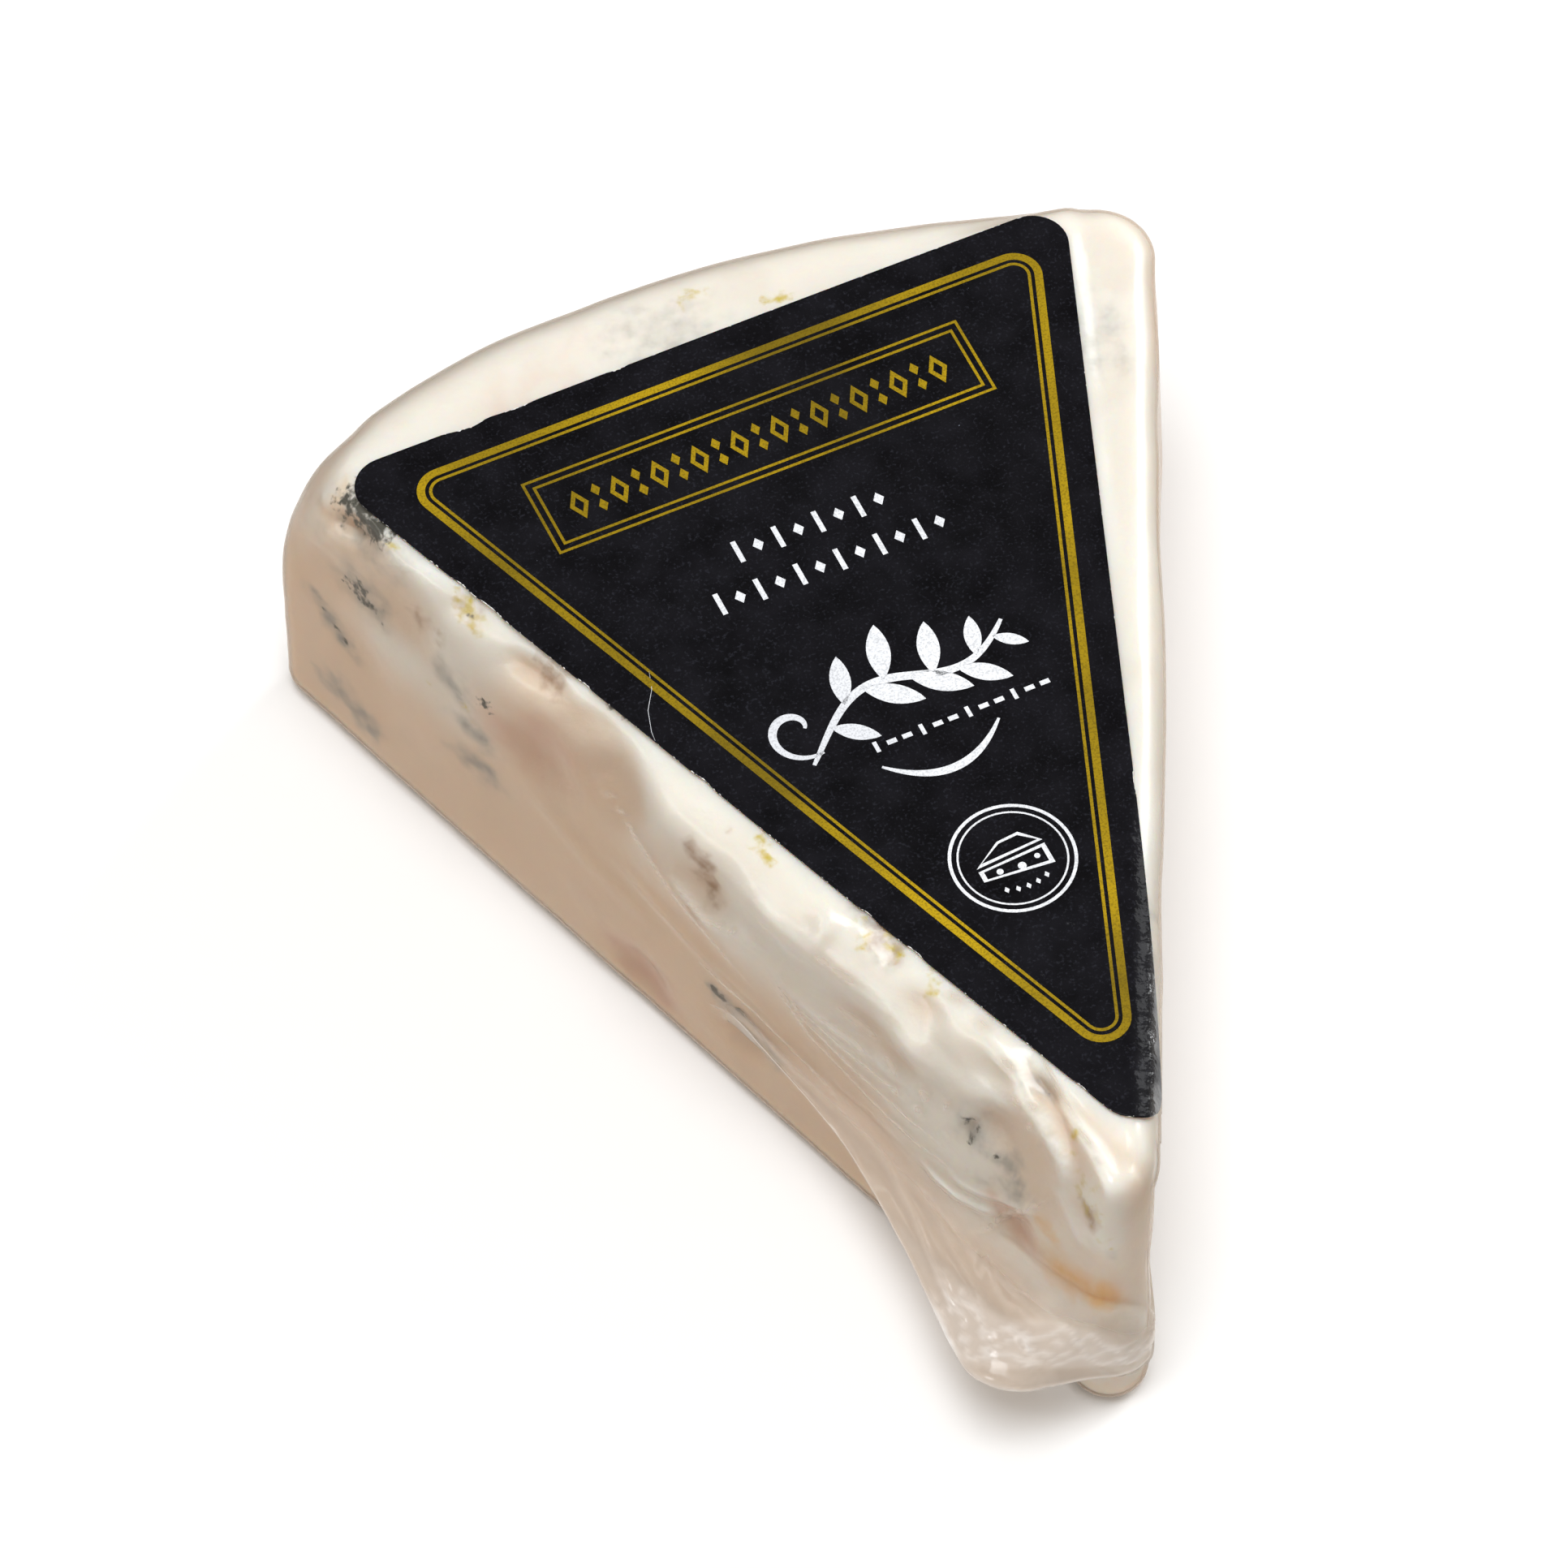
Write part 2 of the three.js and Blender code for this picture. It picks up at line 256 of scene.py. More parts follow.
# Rings from the middle of the underside to the middle of the top: (part of the wedge, share of it).
quarter = math.pi / 2
under_rings = [("under", t) for t in (0.05, 0.25, 0.45, 0.62, 0.75, 0.85, 0.92, 0.97)]
foot_rings = [("foot", i / 4) for i in range(5)]
side_rings = [("side", i / 44) for i in range(1, 44)]
shoulder_rings = [("shoulder", i / 14) for i in range(15)]
top_shares = [1 - 0.011 * i for i in range(1, 17)] + [0.79, 0.74, 0.67, 0.58, 0.47, 0.34, 0.2, 0.07]
top_rings = [("top", t) for t in top_shares]


def smooth_step(low, high, value):
    t = np.clip((value - low) / (high - low), 0, 1)
    return t * t * (3 - 2 * t)


def worn_corner(height):
    """The left corner's round at a height over the foot of the cheese."""
    worn = max(0.0, (height / cheese_height - worn_from) / (1 - worn_from))
    return left_corner_round + left_corner_wear * worn**2


def wedge_points(rings, grow=0.0):
    """Points and outward normals of the smooth wedge, as arrays of ring by column by three."""
    points, normals = [], []
    side_top = cheese_height - down
    for part, share in rings:
        if part in ("under", "foot"):
            angle = quarter * (share - 1) if part == "foot" else -quarter
            inset = foot_round - (foot_round + grow) * math.cos(angle)
            place, out = wedge_outline(inset, inset, left_corner_round)
            height = np.full(len(place), foot_round + (foot_round + grow) * math.sin(angle))
            lean = math.sin(angle)
        elif part == "side":
            corner_height = foot_round + share * (cheese_height - rind_shoulder - foot_round)
            place, out = wedge_outline(-grow, -grow, worn_corner(corner_height))
            height = foot_round + share * (side_top - foot_round)
            lean = 0.0
        else:
            angle = quarter * share if part == "shoulder" else quarter
            cut_in = cut_shoulder - (cut_shoulder + grow) * math.cos(angle)
            rind_in = rind_shoulder - (rind_shoulder + grow) * math.cos(angle)
            corner_height = cheese_height - rind_shoulder * (1 - math.sin(angle))
            place, out = wedge_outline(cut_in, rind_in, worn_corner(corner_height))
            place = place - out * (slump * (1 - math.cos(angle)))[:, None]
            height = side_top + (down + grow) * math.sin(angle)
            rise, run = math.sin(angle) * (across + slump), math.cos(angle) * down
            lean = rise / np.hypot(rise, run)
        if part in ("under", "top"):
            place = top_middle + (place - top_middle) * share
        lean = np.full(len(place), lean) if np.isscalar(lean) else lean
        points.append(np.column_stack([place, cheese_foot + height]))
        normals.append(np.column_stack([out * np.sqrt(1 - lean**2)[:, None], lean]))
    return np.array(points), np.array(normals)


def unroll(points, rings, along, out):
    """Distance along a cut side from the apex, and height up it, carried on over the shoulder."""
    inward = -(points[..., :2] @ out)
    over = np.array([part in ("side", "shoulder", "top") for part, _ in rings])[:, None]
    return points[..., :2] @ along, points[..., 2] + np.where(over, inward, -inward)


def waves(points, length, seed):
    """Soft random waves of a given length, about -1 to 1."""
    flat = points.reshape(-1, 3) / length + seed
    return 1.6 * np.array([noise.noise(v) for v in flat.tolist()]).reshape(points.shape[:-1])


def label_flat(points):
    """A point of the top in the label's own plane, where its rear edge is y = 0 and it points to -y."""
    x, y = points[..., 0] - label_shift, points[..., 1] - label_rear
    c, s = math.cos(label_turn), math.sin(label_turn)
    return c * x + s * y, c * y - s * x


def inside_label(points):
    """Distance in from the label's straight edges, negative outside it."""
    x, y = label_flat(points)
    slope = math.atan2(label_half_base, label_length)
    side = (label_half_base - np.abs(x)) * math.cos(slope) + y * math.sin(slope)
    return np.minimum(-y, side)


def path_distance(s, v, path):
    """Distance to a chain of straight lines, and how far along it the nearest place is, 0 to 1."""
    best, best_at = np.full(s.shape, 1e9), np.zeros(s.shape)
    lengths = [math.dist(a, b) for a, b in zip(path, path[1:])]
    total, done = sum(lengths), 0.0
    for (ax, ay), (bx, by), length in zip(path, path[1:], lengths):
        t = np.clip(((s - ax) * (bx - ax) + (v - ay) * (by - ay)) / (length * length), 0, 1)
        d = np.hypot(s - ax - t * (bx - ax), v - ay - t * (by - ay))
        closer = d < best
        best = np.where(closer, d, best)
        best_at = np.where(closer, (done + t * length) / total, best_at)
        done += length
    return best, best_at


# Soft folds on the left side. Each has its path as (distance from the apex, height, going on over the
# shoulder on to the top), its half width and its height, which is negative for a furrow.
folds = [
    ([(22.5, 42.8), (18.4, 41.4), (14.2, 39.9), (10.8, 38.6), (8.1, 37.0), (6, 34)], 1.2, 0.4),
    ([(29.7, 41.7), (25.1, 40.1), (21.1, 38.5), (17.1, 36.6), (13.9, 34.3), (11.5, 30)], 1.1, 0.6),
    ([(27.3, 42.7), (24.5, 41.9), (22.4, 41.8)], 0.55, 0.35),
    ([(23.7, 41.1), (18.6, 39.7), (14.7, 37.1), (11.5, 33.9), (9.4, 30.5)], 1.5, -0.14),
    ([(54.8, 35.3), (51.4, 33.9), (46, 33.5), (42.6, 34.3), (37.3, 33.9), (33.9, 32.1),
      (31.2, 31.3), (27.3, 33.2)], 1.9, 0.6),
    ([(35.9, 33.4), (32.2, 32.0), (26, 33), (20.2, 36.5), (16.8, 34.7), (13.9, 34.3)], 1.1, 0.45),
    ([(44.9, 41.9), (41.5, 40.4), (38.8, 39.2), (37.8, 38.7)], 0.6, 0.7),
    ([(48.6, 41.4), (46.7, 40.6), (45.2, 38.9), (44.9, 36.9), (46, 33.1)], 0.95, 0.35),
    ([(62.8, 28.2), (57.6, 25.7), (53.1, 28.1), (49.4, 28)], 1.1, 0.3),
    ([(49.4, 28), (48, 25.5), (46, 24.9), (40.5, 25.4), (35.1, 25.9), (28.5, 27.5),
      (24.2, 28.5)], 0.7, 0.32),
    ([(30.2, 16.2), (25.1, 15.8), (20.7, 17.8), (16.9, 21.7)], 0.7, 0.4),
    ([(26.1, 17.5), (20.7, 20.2), (14.5, 24.3)], 0.7, 0.3),
    ([(13.6, 31), (10.5, 27), (8.5, 24.5)], 1.2, 0.2),
    ([(72, 22), (62, 19.6), (52, 18), (44, 15.6)], 1.0, 0.16),
    ([(84, 20), (74, 17.5), (64, 15.8)], 1.2, 0.14),
]

# Fine creases that are in the film alone, in the same way.
creases = [
    ([(49.4, 28.4), (48, 25.9), (46, 25.2), (40.5, 25.7), (35.1, 26.2), (28.5, 27.8),
      (24.2, 28.8)], 0.22, 0.13),
    ([(49, 27.4), (45.5, 23.6), (40, 23.1), (33, 23.6), (27, 24.6), (21.5, 25.8)], 0.26, 0.12),
    ([(50, 26.6), (45, 22.0), (38.5, 20.8), (31, 21.2), (25, 22.0)], 0.3, 0.1),
    ([(50.5, 25.5), (44.5, 20.0), (37, 18.2), (30, 18.4), (24, 19.8)], 0.3, 0.09),
    ([(50, 29.5), (44, 28.8), (38, 28.6), (33, 29.3)], 0.25, 0.1),
    ([(40, 27.2), (35.8, 26.9), (30.8, 26.5), (25.5, 29.5), (19, 30.5)], 0.3, 0.16),
    ([(54.8, 35.6), (51.4, 34.2), (46, 33.8), (42.6, 34.6), (37.3, 34.2), (33.9, 32.4),
      (31.2, 31.6)], 0.25, 0.12),
    ([(62.8, 28.4), (57.6, 25.9), (53.1, 28.3), (49.4, 28.2)], 0.3, 0.12),
    ([(22, 12), (19, 19), (15.2, 25.0), (13.5, 29)], 0.35, 0.12),
    ([(22.5, 43), (18.4, 41.6), (14.2, 40.1), (10.8, 38.8), (8.1, 37.2)], 0.25, 0.12),
    ([(29.7, 41.9), (25.1, 40.3), (21.1, 38.7), (17.1, 36.8), (13.9, 34.5)], 0.25, 0.12),
    ([(33, 41.5), (28, 40.8), (24.5, 39.9)], 0.25, 0.1),
    ([(26, 38.4), (20, 36.2), (15.5, 32.5)], 0.25, 0.1),
    ([(76, 30), (66, 27.6), (58, 23.5), (50.5, 20)], 0.35, 0.07),
    ([(60, 17.2), (52, 16.6), (44, 14.6), (38, 13.4)], 0.3, 0.12),
]

# Hollows where the cheese has sunk into a hole under the film, on the left side in the same way:
# (distance from the apex, height), radius, depth.
hollows = [
    ((93.5, 38.8), 2.6, 0.7), ((83.2, 39.8), 3.0, 1.0), ((85.5, 37.6), 2.2, 0.5),
    ((75.5, 40.6), 2.4, 0.7), ((42.6, 42.8), 1.9, 1.4), ((40.2, 41.4), 1.9, 1.3),
    ((38.6, 40.3), 1.4, 0.9), ((52.5, 38.5), 3.0, 0.6), ((67, 6), 3.4, 0.8), ((81, 27), 4.2, 0.9),
    ((71.5, 31), 4.5, 0.7), ((58, 29.5), 3.2, 0.7), ((24.4, 27.6), 0.9, 1.3),
    ((21.5, 30.6), 2.6, 0.7), ((19, 40.2), 1.5, 0.5), ((9.6, 30.8), 1.5, 0.35),
    ((18.3, 18.3), 2.4, 0.6), ((101, 30), 4.0, 0.6), ((108, 36), 3.0, 0.8), ((33, 38.2), 2.6, 0.6),
    ((106, 17), 4.0, 0.4), ((88, 12), 6.0, 0.4), ((53, 10.2), 2.6, 0.8),
]


def relief(points, rings):
    """How far the surface of the cheese, and the film on it, stands out from the smooth wedge."""
    s, v = unroll(points, rings, left_along, left_out)
    by_left = smooth_step(-14, -9, points[..., :2] @ left_out)
    on_left = by_left * smooth_step(-1.5, -5, points[..., :2] @ right_out)
    edge = on_left * smooth_step(20, 29, v) * smooth_step(50, 42, v)
    bed = smooth_step(-2.2, 0.3, inside_label(points)) * (points[..., 2] > top_height - 3)
    foot = smooth_step(cheese_foot, cheese_foot + 4, points[..., 2])
    height = 0.42 * waves(points, 23, 3.1) + (0.16 + 0.5 * edge) * waves(points, 9.5, 7.7) - 0.15
    height = height + (0.03 + 0.04 * edge) * waves(points, 3.6, 1.4)
    for path, width, rise in folds:
        d, at = path_distance(s, v, path)
        taper = smooth_step(0, 0.18, at) * smooth_step(1, 0.75, at)
        height = height + on_left * taper * 1.35 * rise * np.exp(-((d / width) ** 2))
    for (hs, hv), radius, depth in hollows:
        near = ((s - hs) ** 2 + (v - hv) ** 2) / radius**2
        height = height - on_left * 1.2 * depth * np.exp(-(near**1.3))
    return height * foot * (1 - bed)


def bow(x, y):
    """The slow bow of the whole top, which the film and the label share."""
    return 0.16 * np.sin(x / 11 + 0.7) * np.sin(y / 17 + 0.4)


def raise_surface(points, normals, height):
    lifted = points + normals * height[..., None]
    on_top = smooth_step(top_height - 4, top_height - 0.5, points[..., 2])
    lifted[..., 2] += on_top * bow(points[..., 0], points[..., 1])
    return lifted


def grid_mesh(name, grid):
    """A closed mesh over rings of points, each end closed by a fan. The points come in millimetres."""
    rings_n, cols_n = grid.shape[:2]
    corners = np.vstack([grid.reshape(-1, 3), grid[0].mean(0), grid[-1].mean(0)])
    i = np.arange(rings_n - 1)[:, None] * cols_n
    j = np.arange(cols_n)[None, :]
    k = (j + 1) % cols_n
    quads = np.stack([i + j, i + k, i + cols_n + k, i + cols_n + j], -1).reshape(-1, 4)
    last = (rings_n - 1) * cols_n
    hub = rings_n * cols_n
    faces = quads.tolist()
    faces += [(b, a, hub) for a, b in zip(range(cols_n), [*range(1, cols_n), 0])]
    faces += [(last + a, last + b, hub + 1) for a, b in zip(range(cols_n), [*range(1, cols_n), 0])]
    mesh = bpy.data.meshes.new(name)
    mesh.from_pydata(((corners + apex) / 1000).tolist(), [], faces)
    mesh.shade_smooth()
    mesh.update()
    piece = bpy.data.objects.new(name, mesh)
    bpy.context.scene.collection.objects.link(piece)
    return piece


def paint(piece, name, values):
    """Stores a number for each point of a grid mesh, with the two fan middles left at zero."""
    layer = piece.data.attributes.new(name, "FLOAT", "POINT")
    layer.data.foreach_set("value", np.append(np.clip(values, 0, 1).ravel(), [0, 0]).astype(np.float32))


cheese_rings = under_rings + foot_rings + side_rings + shoulder_rings + top_rings
cheese_smooth, cheese_normals = wedge_points(cheese_rings)
cheese_grid = raise_surface(cheese_smooth, cheese_normals, relief(cheese_smooth, cheese_rings))
cheese = grid_mesh("cheese_body", cheese_grid)


def left(s, v):
    """A place on the left side, or on its shoulder and the top where v is over the height."""
    inward = max(0.0, v - top_height)
    return np.array([*(s * left_along - inward * left_out), min(v, top_height)])


def right(s, v):
    inward = max(0.0, v - top_height)
    return np.array([*(s * right_along - inward * right_out), min(v, top_height)])


def top(x, y):
    return np.array([x - apex[0], y - apex[1], top_height])


def on_rind(turn, height):
    """A place on the rind side, at a turn from the middle of the wedge."""
    return np.array([wheel_radius * math.sin(turn), wheel_radius * math.cos(turn), height])


# What grows in the cheese: kind, two ends, half width, strength.
marks = [
    ("mould", left(109.2, 38.6), left(105.6, 38.9), 1.5, 1.0),
    ("mould", left(105.2, 39.2), left(104.2, 39.0), 0.6, 0.95),
    ("mould", left(107.2, 38.0), left(108.8, 36.4), 0.9, 0.7),
    ("haze", left(108.5, 35.8), left(106, 37), 2.4, 0.6),
    ("mould", left(107, 26.9), left(104.6, 26.2), 0.62, 1.0),
    ("haze", left(107.2, 27.2), left(104.4, 26), 1.3, 0.7),
    ("mould", left(108.5, 27.4), left(108.4, 26.0), 0.28, 0.7),
    ("mould", left(103.1, 24.6), left(102.9, 24.4), 0.22, 0.7),
    ("haze", left(112, 19.6), left(108.8, 15.2), 0.7, 1.0),
    ("mould", left(111.2, 18.6), left(108.6, 15.2), 0.3, 0.75),
    ("haze", left(110.4, 7.2), left(105.2, 6.6), 1.0, 0.95),
    ("haze", left(93.3, 26.4), left(91.2, 25.2), 1.0, 0.75),
    ("mould", left(91.8, 25.6), left(91.3, 25.2), 0.28, 0.6),
    ("yellow", left(91, 25), left(89.4, 23.4), 0.28, 0.75),
    ("mould", left(88.6, 27.2), left(87.2, 26.6), 0.34, 0.85),
    ("haze", left(90.9, 22.2), left(88.6, 21.1), 0.8, 0.9),
    ("haze", left(91.3, 15.6), left(88.3, 15.4), 0.95, 0.9),
    ("yellow", left(88.9, 19.0), left(87.4, 18.2), 0.3, 0.5),
    ("yellow", left(96.3, 23.2), left(95.5, 23.4), 0.3, 0.5),
    ("rust", left(98.3, 30), left(95.4, 31.6), 1.2, 0.55),
    ("blush", left(84.5, 25.4), left(78.5, 28.4), 2.6, 0.8),
    ("rust", left(93.6, 39), left(93.2, 38), 1.4, 0.5),
    ("yellow", left(93.6, 38.4), left(90.8, 37.2), 0.75, 0.8),
    ("mould", left(91.8, 37.8), left(90.6, 37.2), 0.55, 0.35),
    ("yellow", left(102.9, 37.5), left(102.7, 37.4), 0.4, 0.7),
    ("rust", left(83.4, 40), left(82.2, 39), 1.6, 0.75),
    ("mould", left(81.2, 38.9), left(81.1, 38.8), 0.3, 0.7),
    ("mould", left(76.2, 40.2), left(73.8, 41), 0.5, 0.55),
    ("rust", left(60.0, 31.9), left(57.6, 29.0), 1.35, 1.0),
    ("rust", left(58.8, 30.4), left(57.8, 28.6), 0.7, 1.0),
    ("rust", left(59.6, 25.2), left(58.4, 21.2), 0.5, 0.75),
    ("yellow", left(56.8, 33.6), left(56.2, 33.4), 0.5, 0.6),
    ("yellow", left(55.8, 40.4), left(54, 39.2), 0.4, 0.95),
    ("yellow", left(54, 39.2), left(53.5, 39.8), 0.5, 0.8),
    ("yellow", left(42.8, 40.4), left(38.6, 38.0), 0.5, 1.0),
    ("yellow", left(37.2, 37.2), left(36.6, 36.8), 0.7, 0.95),
    ("yellow", left(40.4, 42.2), left(37.8, 40.9), 0.32, 0.85),
    ("yellow", left(37.8, 40.9), left(37.2, 39.4), 0.4, 0.8),
    ("rust", left(43.2, 42.6), left(40.0, 41.4), 1.5, 0.75),
    ("haze", left(43.2, 42.6), left(39.6, 41.0), 1.2, 0.35),
    ("yellow", left(33.8, 40.6), left(33.6, 40.4), 0.55, 0.75),
    ("rust", left(63.9, 37.8), left(63.8, 37.7), 0.4, 0.5),
    ("rust", left(58.7, 39), left(58.5, 38.8), 0.6, 0.6),
    ("haze", left(57.4, 14.2), left(48.6, 10.6), 0.6, 1.0),
    ("mould", left(56.4, 13.9), left(50.2, 11.2), 0.5, 1.0),
    ("blush", left(69, 7), left(64.5, 4.6), 2.0, 0.9),
    ("rust", left(25.6, 31.4), left(21.4, 33.2), 1.0, 0.75),
    ("haze", left(23.6, 32.0), left(21.2, 33.4), 0.9, 0.5),
    ("mould", left(25.3, 27.7), left(24.2, 27.2), 0.5, 1.0),
    ("haze", left(24.6, 28), left(23.2, 26.8), 1.0, 0.6),
    ("mould", left(22.6, 27.1), left(18.8, 26.1), 0.3, 0.85),
    ("haze", left(23.2, 27.4), left(17.6, 25.2), 0.6, 0.9),
    ("haze", left(21.8, 21.6), left(17.4, 24.0), 0.5, 0.7),
    ("mould", left(20.6, 21.9), left(19.6, 22.4), 0.22, 0.6),
    ("orange", left(14.4, 22.4), left(13.2, 21.2), 1.0, 0.6),
    ("orange", left(5.2, 35.2), left(4.4, 33), 1.2, 0.45),
    ("haze", left(20.4, 40.4), left(18.4, 39.8), 0.8, 0.6),
    ("mould", left(19.4, 40.2), left(18.6, 40.0), 0.4, 0.4),
    ("rust", left(9.4, 31.2), left(8.8, 30.6), 1.1, 1.0),
    ("yellow", left(11.4, 33.2), left(9.6, 31.4), 1.0, 0.5),
    ("haze", left(6.4, 27.2), left(4.6, 26.0), 0.5, 0.5),
    ("yellow", left(7.0, 28.2), left(3.2, 31.2), 0.5, 0.6),
    ("yellow", left(14.2, 38.4), left(13.8, 38.2), 0.7, 0.6),
    ("blush", left(18.6, 18.6), left(17.4, 18), 1.8, 0.9),
    ("orange", left(12.4, 17.2), left(6.8, 18.6), 2.0, 0.9),
    ("orange", left(6.0, 17.4), left(2.6, 16.4), 1.2, 0.9),
    ("orange", left(9, 3), left(5, 6), 3.5, 0.2),
    ("rust", left(21.5, 16.8), left(17.2, 20.2), 0.8, 0.45),
    ("orange", left(112.2, 37.6), left(109.4, 35.8), 1.8, 0.9),
    ("orange", left(112.8, 35.2), left(111.6, 33.4), 1.1, 0.6),
    ("rust", left(113, 38), left(111.4, 37), 1.4, 0.5),
    ("mould", right(33.9, 38.1), right(33.0, 38.6), 0.8, 1.0),
    ("mould", right(35.4, 37.4), right(34.8, 37.1), 0.5, 0.9),
    ("mould", right(28.6, 38.6), right(27.9, 38.1), 0.75, 0.95),
    ("haze", right(36, 37.4), right(31, 38.6), 1.6, 0.5),
    ("haze", top(30.6, 36.0), top(31.8, 34.6), 2.2, 0.5),
    ("haze", top(-6, 49.4), top(-3, 49.2), 2.0, 0.42),
    ("haze", top(-10, 49.2), top(-9, 49.5), 1.0, 0.3),
    ("mould", top(-25.5, 43.0), top(-25.2, 42.7), 0.35, 0.6),
    ("haze", top(-22.5, 42.0), top(-20.5, 42.6), 1.0, 0.25),
    ("yellow", top(-1.5, 52.0), top(-0.6, 52.6), 0.8, 0.4),
    ("rust", top(-13, 51.0), top(-12, 51.4), 0.9, 0.22),
    ("yellow", top(6.6, 48.8), top(7.6, 49.0), 0.5, 0.7),
    ("blush", top(-22, 46.5), top(-14, 48.5), 3.0, 0.4),
    ("yellow", top(27.8, 22.5), top(28.2, 21.6), 0.5, 0.4),
]

# The sides that face away get veins and spots of the same kinds, scattered but always the same.
scatter = np.random.default_rng(11)
for _ in range(46):
    face = scatter.choice(["right", "rind", "under"], p=[0.5, 0.3, 0.2])
    size, lean = scatter.uniform(0.5, 4.2), scatter.uniform(-0.6, 0.9)
    kind = scatter.choice(["mould", "haze", "haze", "yellow", "rust"])
    if face == "right":
        s, v = scatter.uniform(12, 108), scatter.uniform(3, 33)
        ends = right(s, v), right(s + size, v + size * lean)
    elif face == "rind":
        turn, v = scatter.uniform(-0.33, 0.33), scatter.uniform(4, 31)
        ends = on_rind(turn, v), on_rind(turn + size / wheel_radius, v + size * lean)
    else:
        y = scatter.uniform(25, 110)
        x = scatter.uniform(-0.33, 0.33) * y
        ends = np.array([x, y, cheese_foot]), np.array([x + size * lean, y + size, cheese_foot])
    marks.append((kind, *ends, scatter.uniform(0.25, 0.9), scatter.uniform(0.5, 1.0)))


def strayed(points):
    """The same points moved about a little, which makes the marks stray from straight lines."""
    moves = [waves(points, 2.6, seed) + 0.6 * waves(points, 1.1, seed + 9) for seed in (2.5, 5.5, 8.5)]
    return points + 0.75 * np.stack(moves, -1)


def nearness(points, kind):
    """1 on the middle of a mark of this kind, a half at its edge, and 0 as far again past that."""
    field = np.zeros(points.shape[:-1])
    spread = {"haze": 1.7, "blush": 1.4, "mould": 1.25, "yellow": 1.6}.get(kind, 1.0)
    for what, a, b, width, strength in marks:
        if what != kind:
            continue
        width = width * spread
        line = b - a
        t = np.clip(((points - a) @ line) / max(float(line @ line), 1e-9), 0, 1)
        d = np.linalg.norm(points - a - t[..., None] * line, axis=-1)
        field = np.maximum(field, strength * np.clip(1 - d / (2 * width), 0, 1))
    return field


cheese_strayed = strayed(cheese_smooth)
for kind in ("mould", "haze", "yellow", "rust", "orange", "blush"):
    paint(cheese, kind, nearness(cheese_strayed, kind))

# The paste is pale on the top and turns to tan down the sides, partly its own tone and partly painted
# shade of the sides. Bulges are painted paler, a painted highlight, and sunk hollows darker, painted shade.
tan_and_shade_line = [
    (0, 2), (10, 4), (15, 10), (24, 12), (32, 16), (50, 23), (62, 27), (78, 28), (90, 24),
    (100, 21), (112, 20),
]
cheese_s, cheese_v = unroll(cheese_smooth, cheese_rings, left_along, left_out)
stands_out = relief(cheese_smooth, cheese_rings)
on_left = smooth_step(-16, -9, cheese_smooth[..., :2] @ left_out)
cheese_v = on_left * cheese_v + (1 - on_left) * cheese_smooth[..., 2]
paleness_and_painted_light = cheese_v - np.interp(cheese_s, *zip(*tan_and_shade_line)) + 4 * waves(cheese_smooth, 11, 4.4)
paleness_and_painted_light = paleness_and_painted_light + 7 * stands_out
on_top = smooth_step(top_height - 3, top_height - 0.5, cheese_smooth[..., 2])
# Painted shade in the sunk hollows of the left side.
sunk = on_left * smooth_step(-0.05, -0.85, stands_out)
paint(cheese, "cream_and_painted_light", np.maximum(smooth_step(-7, 8, paleness_and_painted_light), on_top) * (1 - 0.65 * sunk))


def node(tree, kind, place, **settings):
    """A shader node with its settings, set in columns so that the tree can be read."""
    made = tree.nodes.new(kind)
    made.location = (220 * place[0], -180 * place[1])
    for key, value in settings.items():
        setattr(made, key, value)
    return made


def fill(made, **values):
    for key, value in values.items():
        made.inputs[key.replace("_", " ")].default_value = value
    return made


def mix_colour(tree, place, amount, under, over):
    """Puts one colour over another by a mask. under and over are colours or sockets."""
    made = node(tree, "ShaderNodeMix", place, data_type="RGBA")
    for index, value in ((0, amount), (6, under), (7, over)):
        if isinstance(value, (tuple, float, int)):
            made.inputs[index].default_value = (*value, 1) if isinstance(value, tuple) else value
        else:
            tree.links.new(value, made.inputs[index])
    return made.outputs[2]


def calc(tree, place, operation, *values):
    made = node(tree, "ShaderNodeMath", place, operation=operation)
    for index, value in enumerate(values):
        if isinstance(value, (float, int)):
            made.inputs[index].default_value = value
        else:
            tree.links.new(value, made.inputs[index])
    return made.outputs[0]


def cloud_group():
    """Cloudy variation at a size in millimetres: out comes a mask from 0 to 1, with its contrast."""
    group = bpy.data.node_groups.new("cloud", "ShaderNodeTree")
    group.interface.new_socket("Size", in_out="INPUT", socket_type="NodeSocketFloat").default_value = 5
    group.interface.new_socket("Detail", in_out="INPUT", socket_type="NodeSocketFloat").default_value = 2
    group.interface.new_socket("Contrast", in_out="INPUT", socket_type="NodeSocketFloat").default_value = 1
    group.interface.new_socket("Offset", in_out="INPUT", socket_type="NodeSocketFloat").default_value = 0
    group.interface.new_socket("Mask", in_out="OUTPUT", socket_type="NodeSocketFloat")
    ins = node(group, "NodeGroupInput", (0, 0))
    place = node(group, "ShaderNodeTexCoord", (0, 1))
    scale = calc(group, (1, 0), "DIVIDE", 1000.0, ins.outputs["Size"])
    move = node(group, "ShaderNodeVectorMath", (1, 1), operation="ADD")
    group.links.new(place.outputs["Object"], move.inputs[0])
    group.links.new(ins.outputs["Offset"], move.inputs[1])
    grain = node(group, "ShaderNodeTexNoise", (2, 0))
    group.links.new(move.outputs[0], grain.inputs["Vector"])
    group.links.new(scale, grain.inputs["Scale"])
    group.links.new(ins.outputs["Detail"], grain.inputs["Detail"])
    centred = calc(group, (3, 0), "SUBTRACT", grain.outputs["Fac"], 0.5)
    stretched = calc(group, (4, 0), "MULTIPLY", centred, ins.outputs["Contrast"])
    shifted = node(group, "ShaderNodeMath", (5, 0), operation="ADD", use_clamp=True)
    group.links.new(stretched, shifted.inputs[0])
    shifted.inputs[1].default_value = 0.5
    outs = node(group, "NodeGroupOutput", (6, 0))
    group.links.new(shifted.outputs[0], outs.inputs["Mask"])
    return group


clouds = cloud_group()


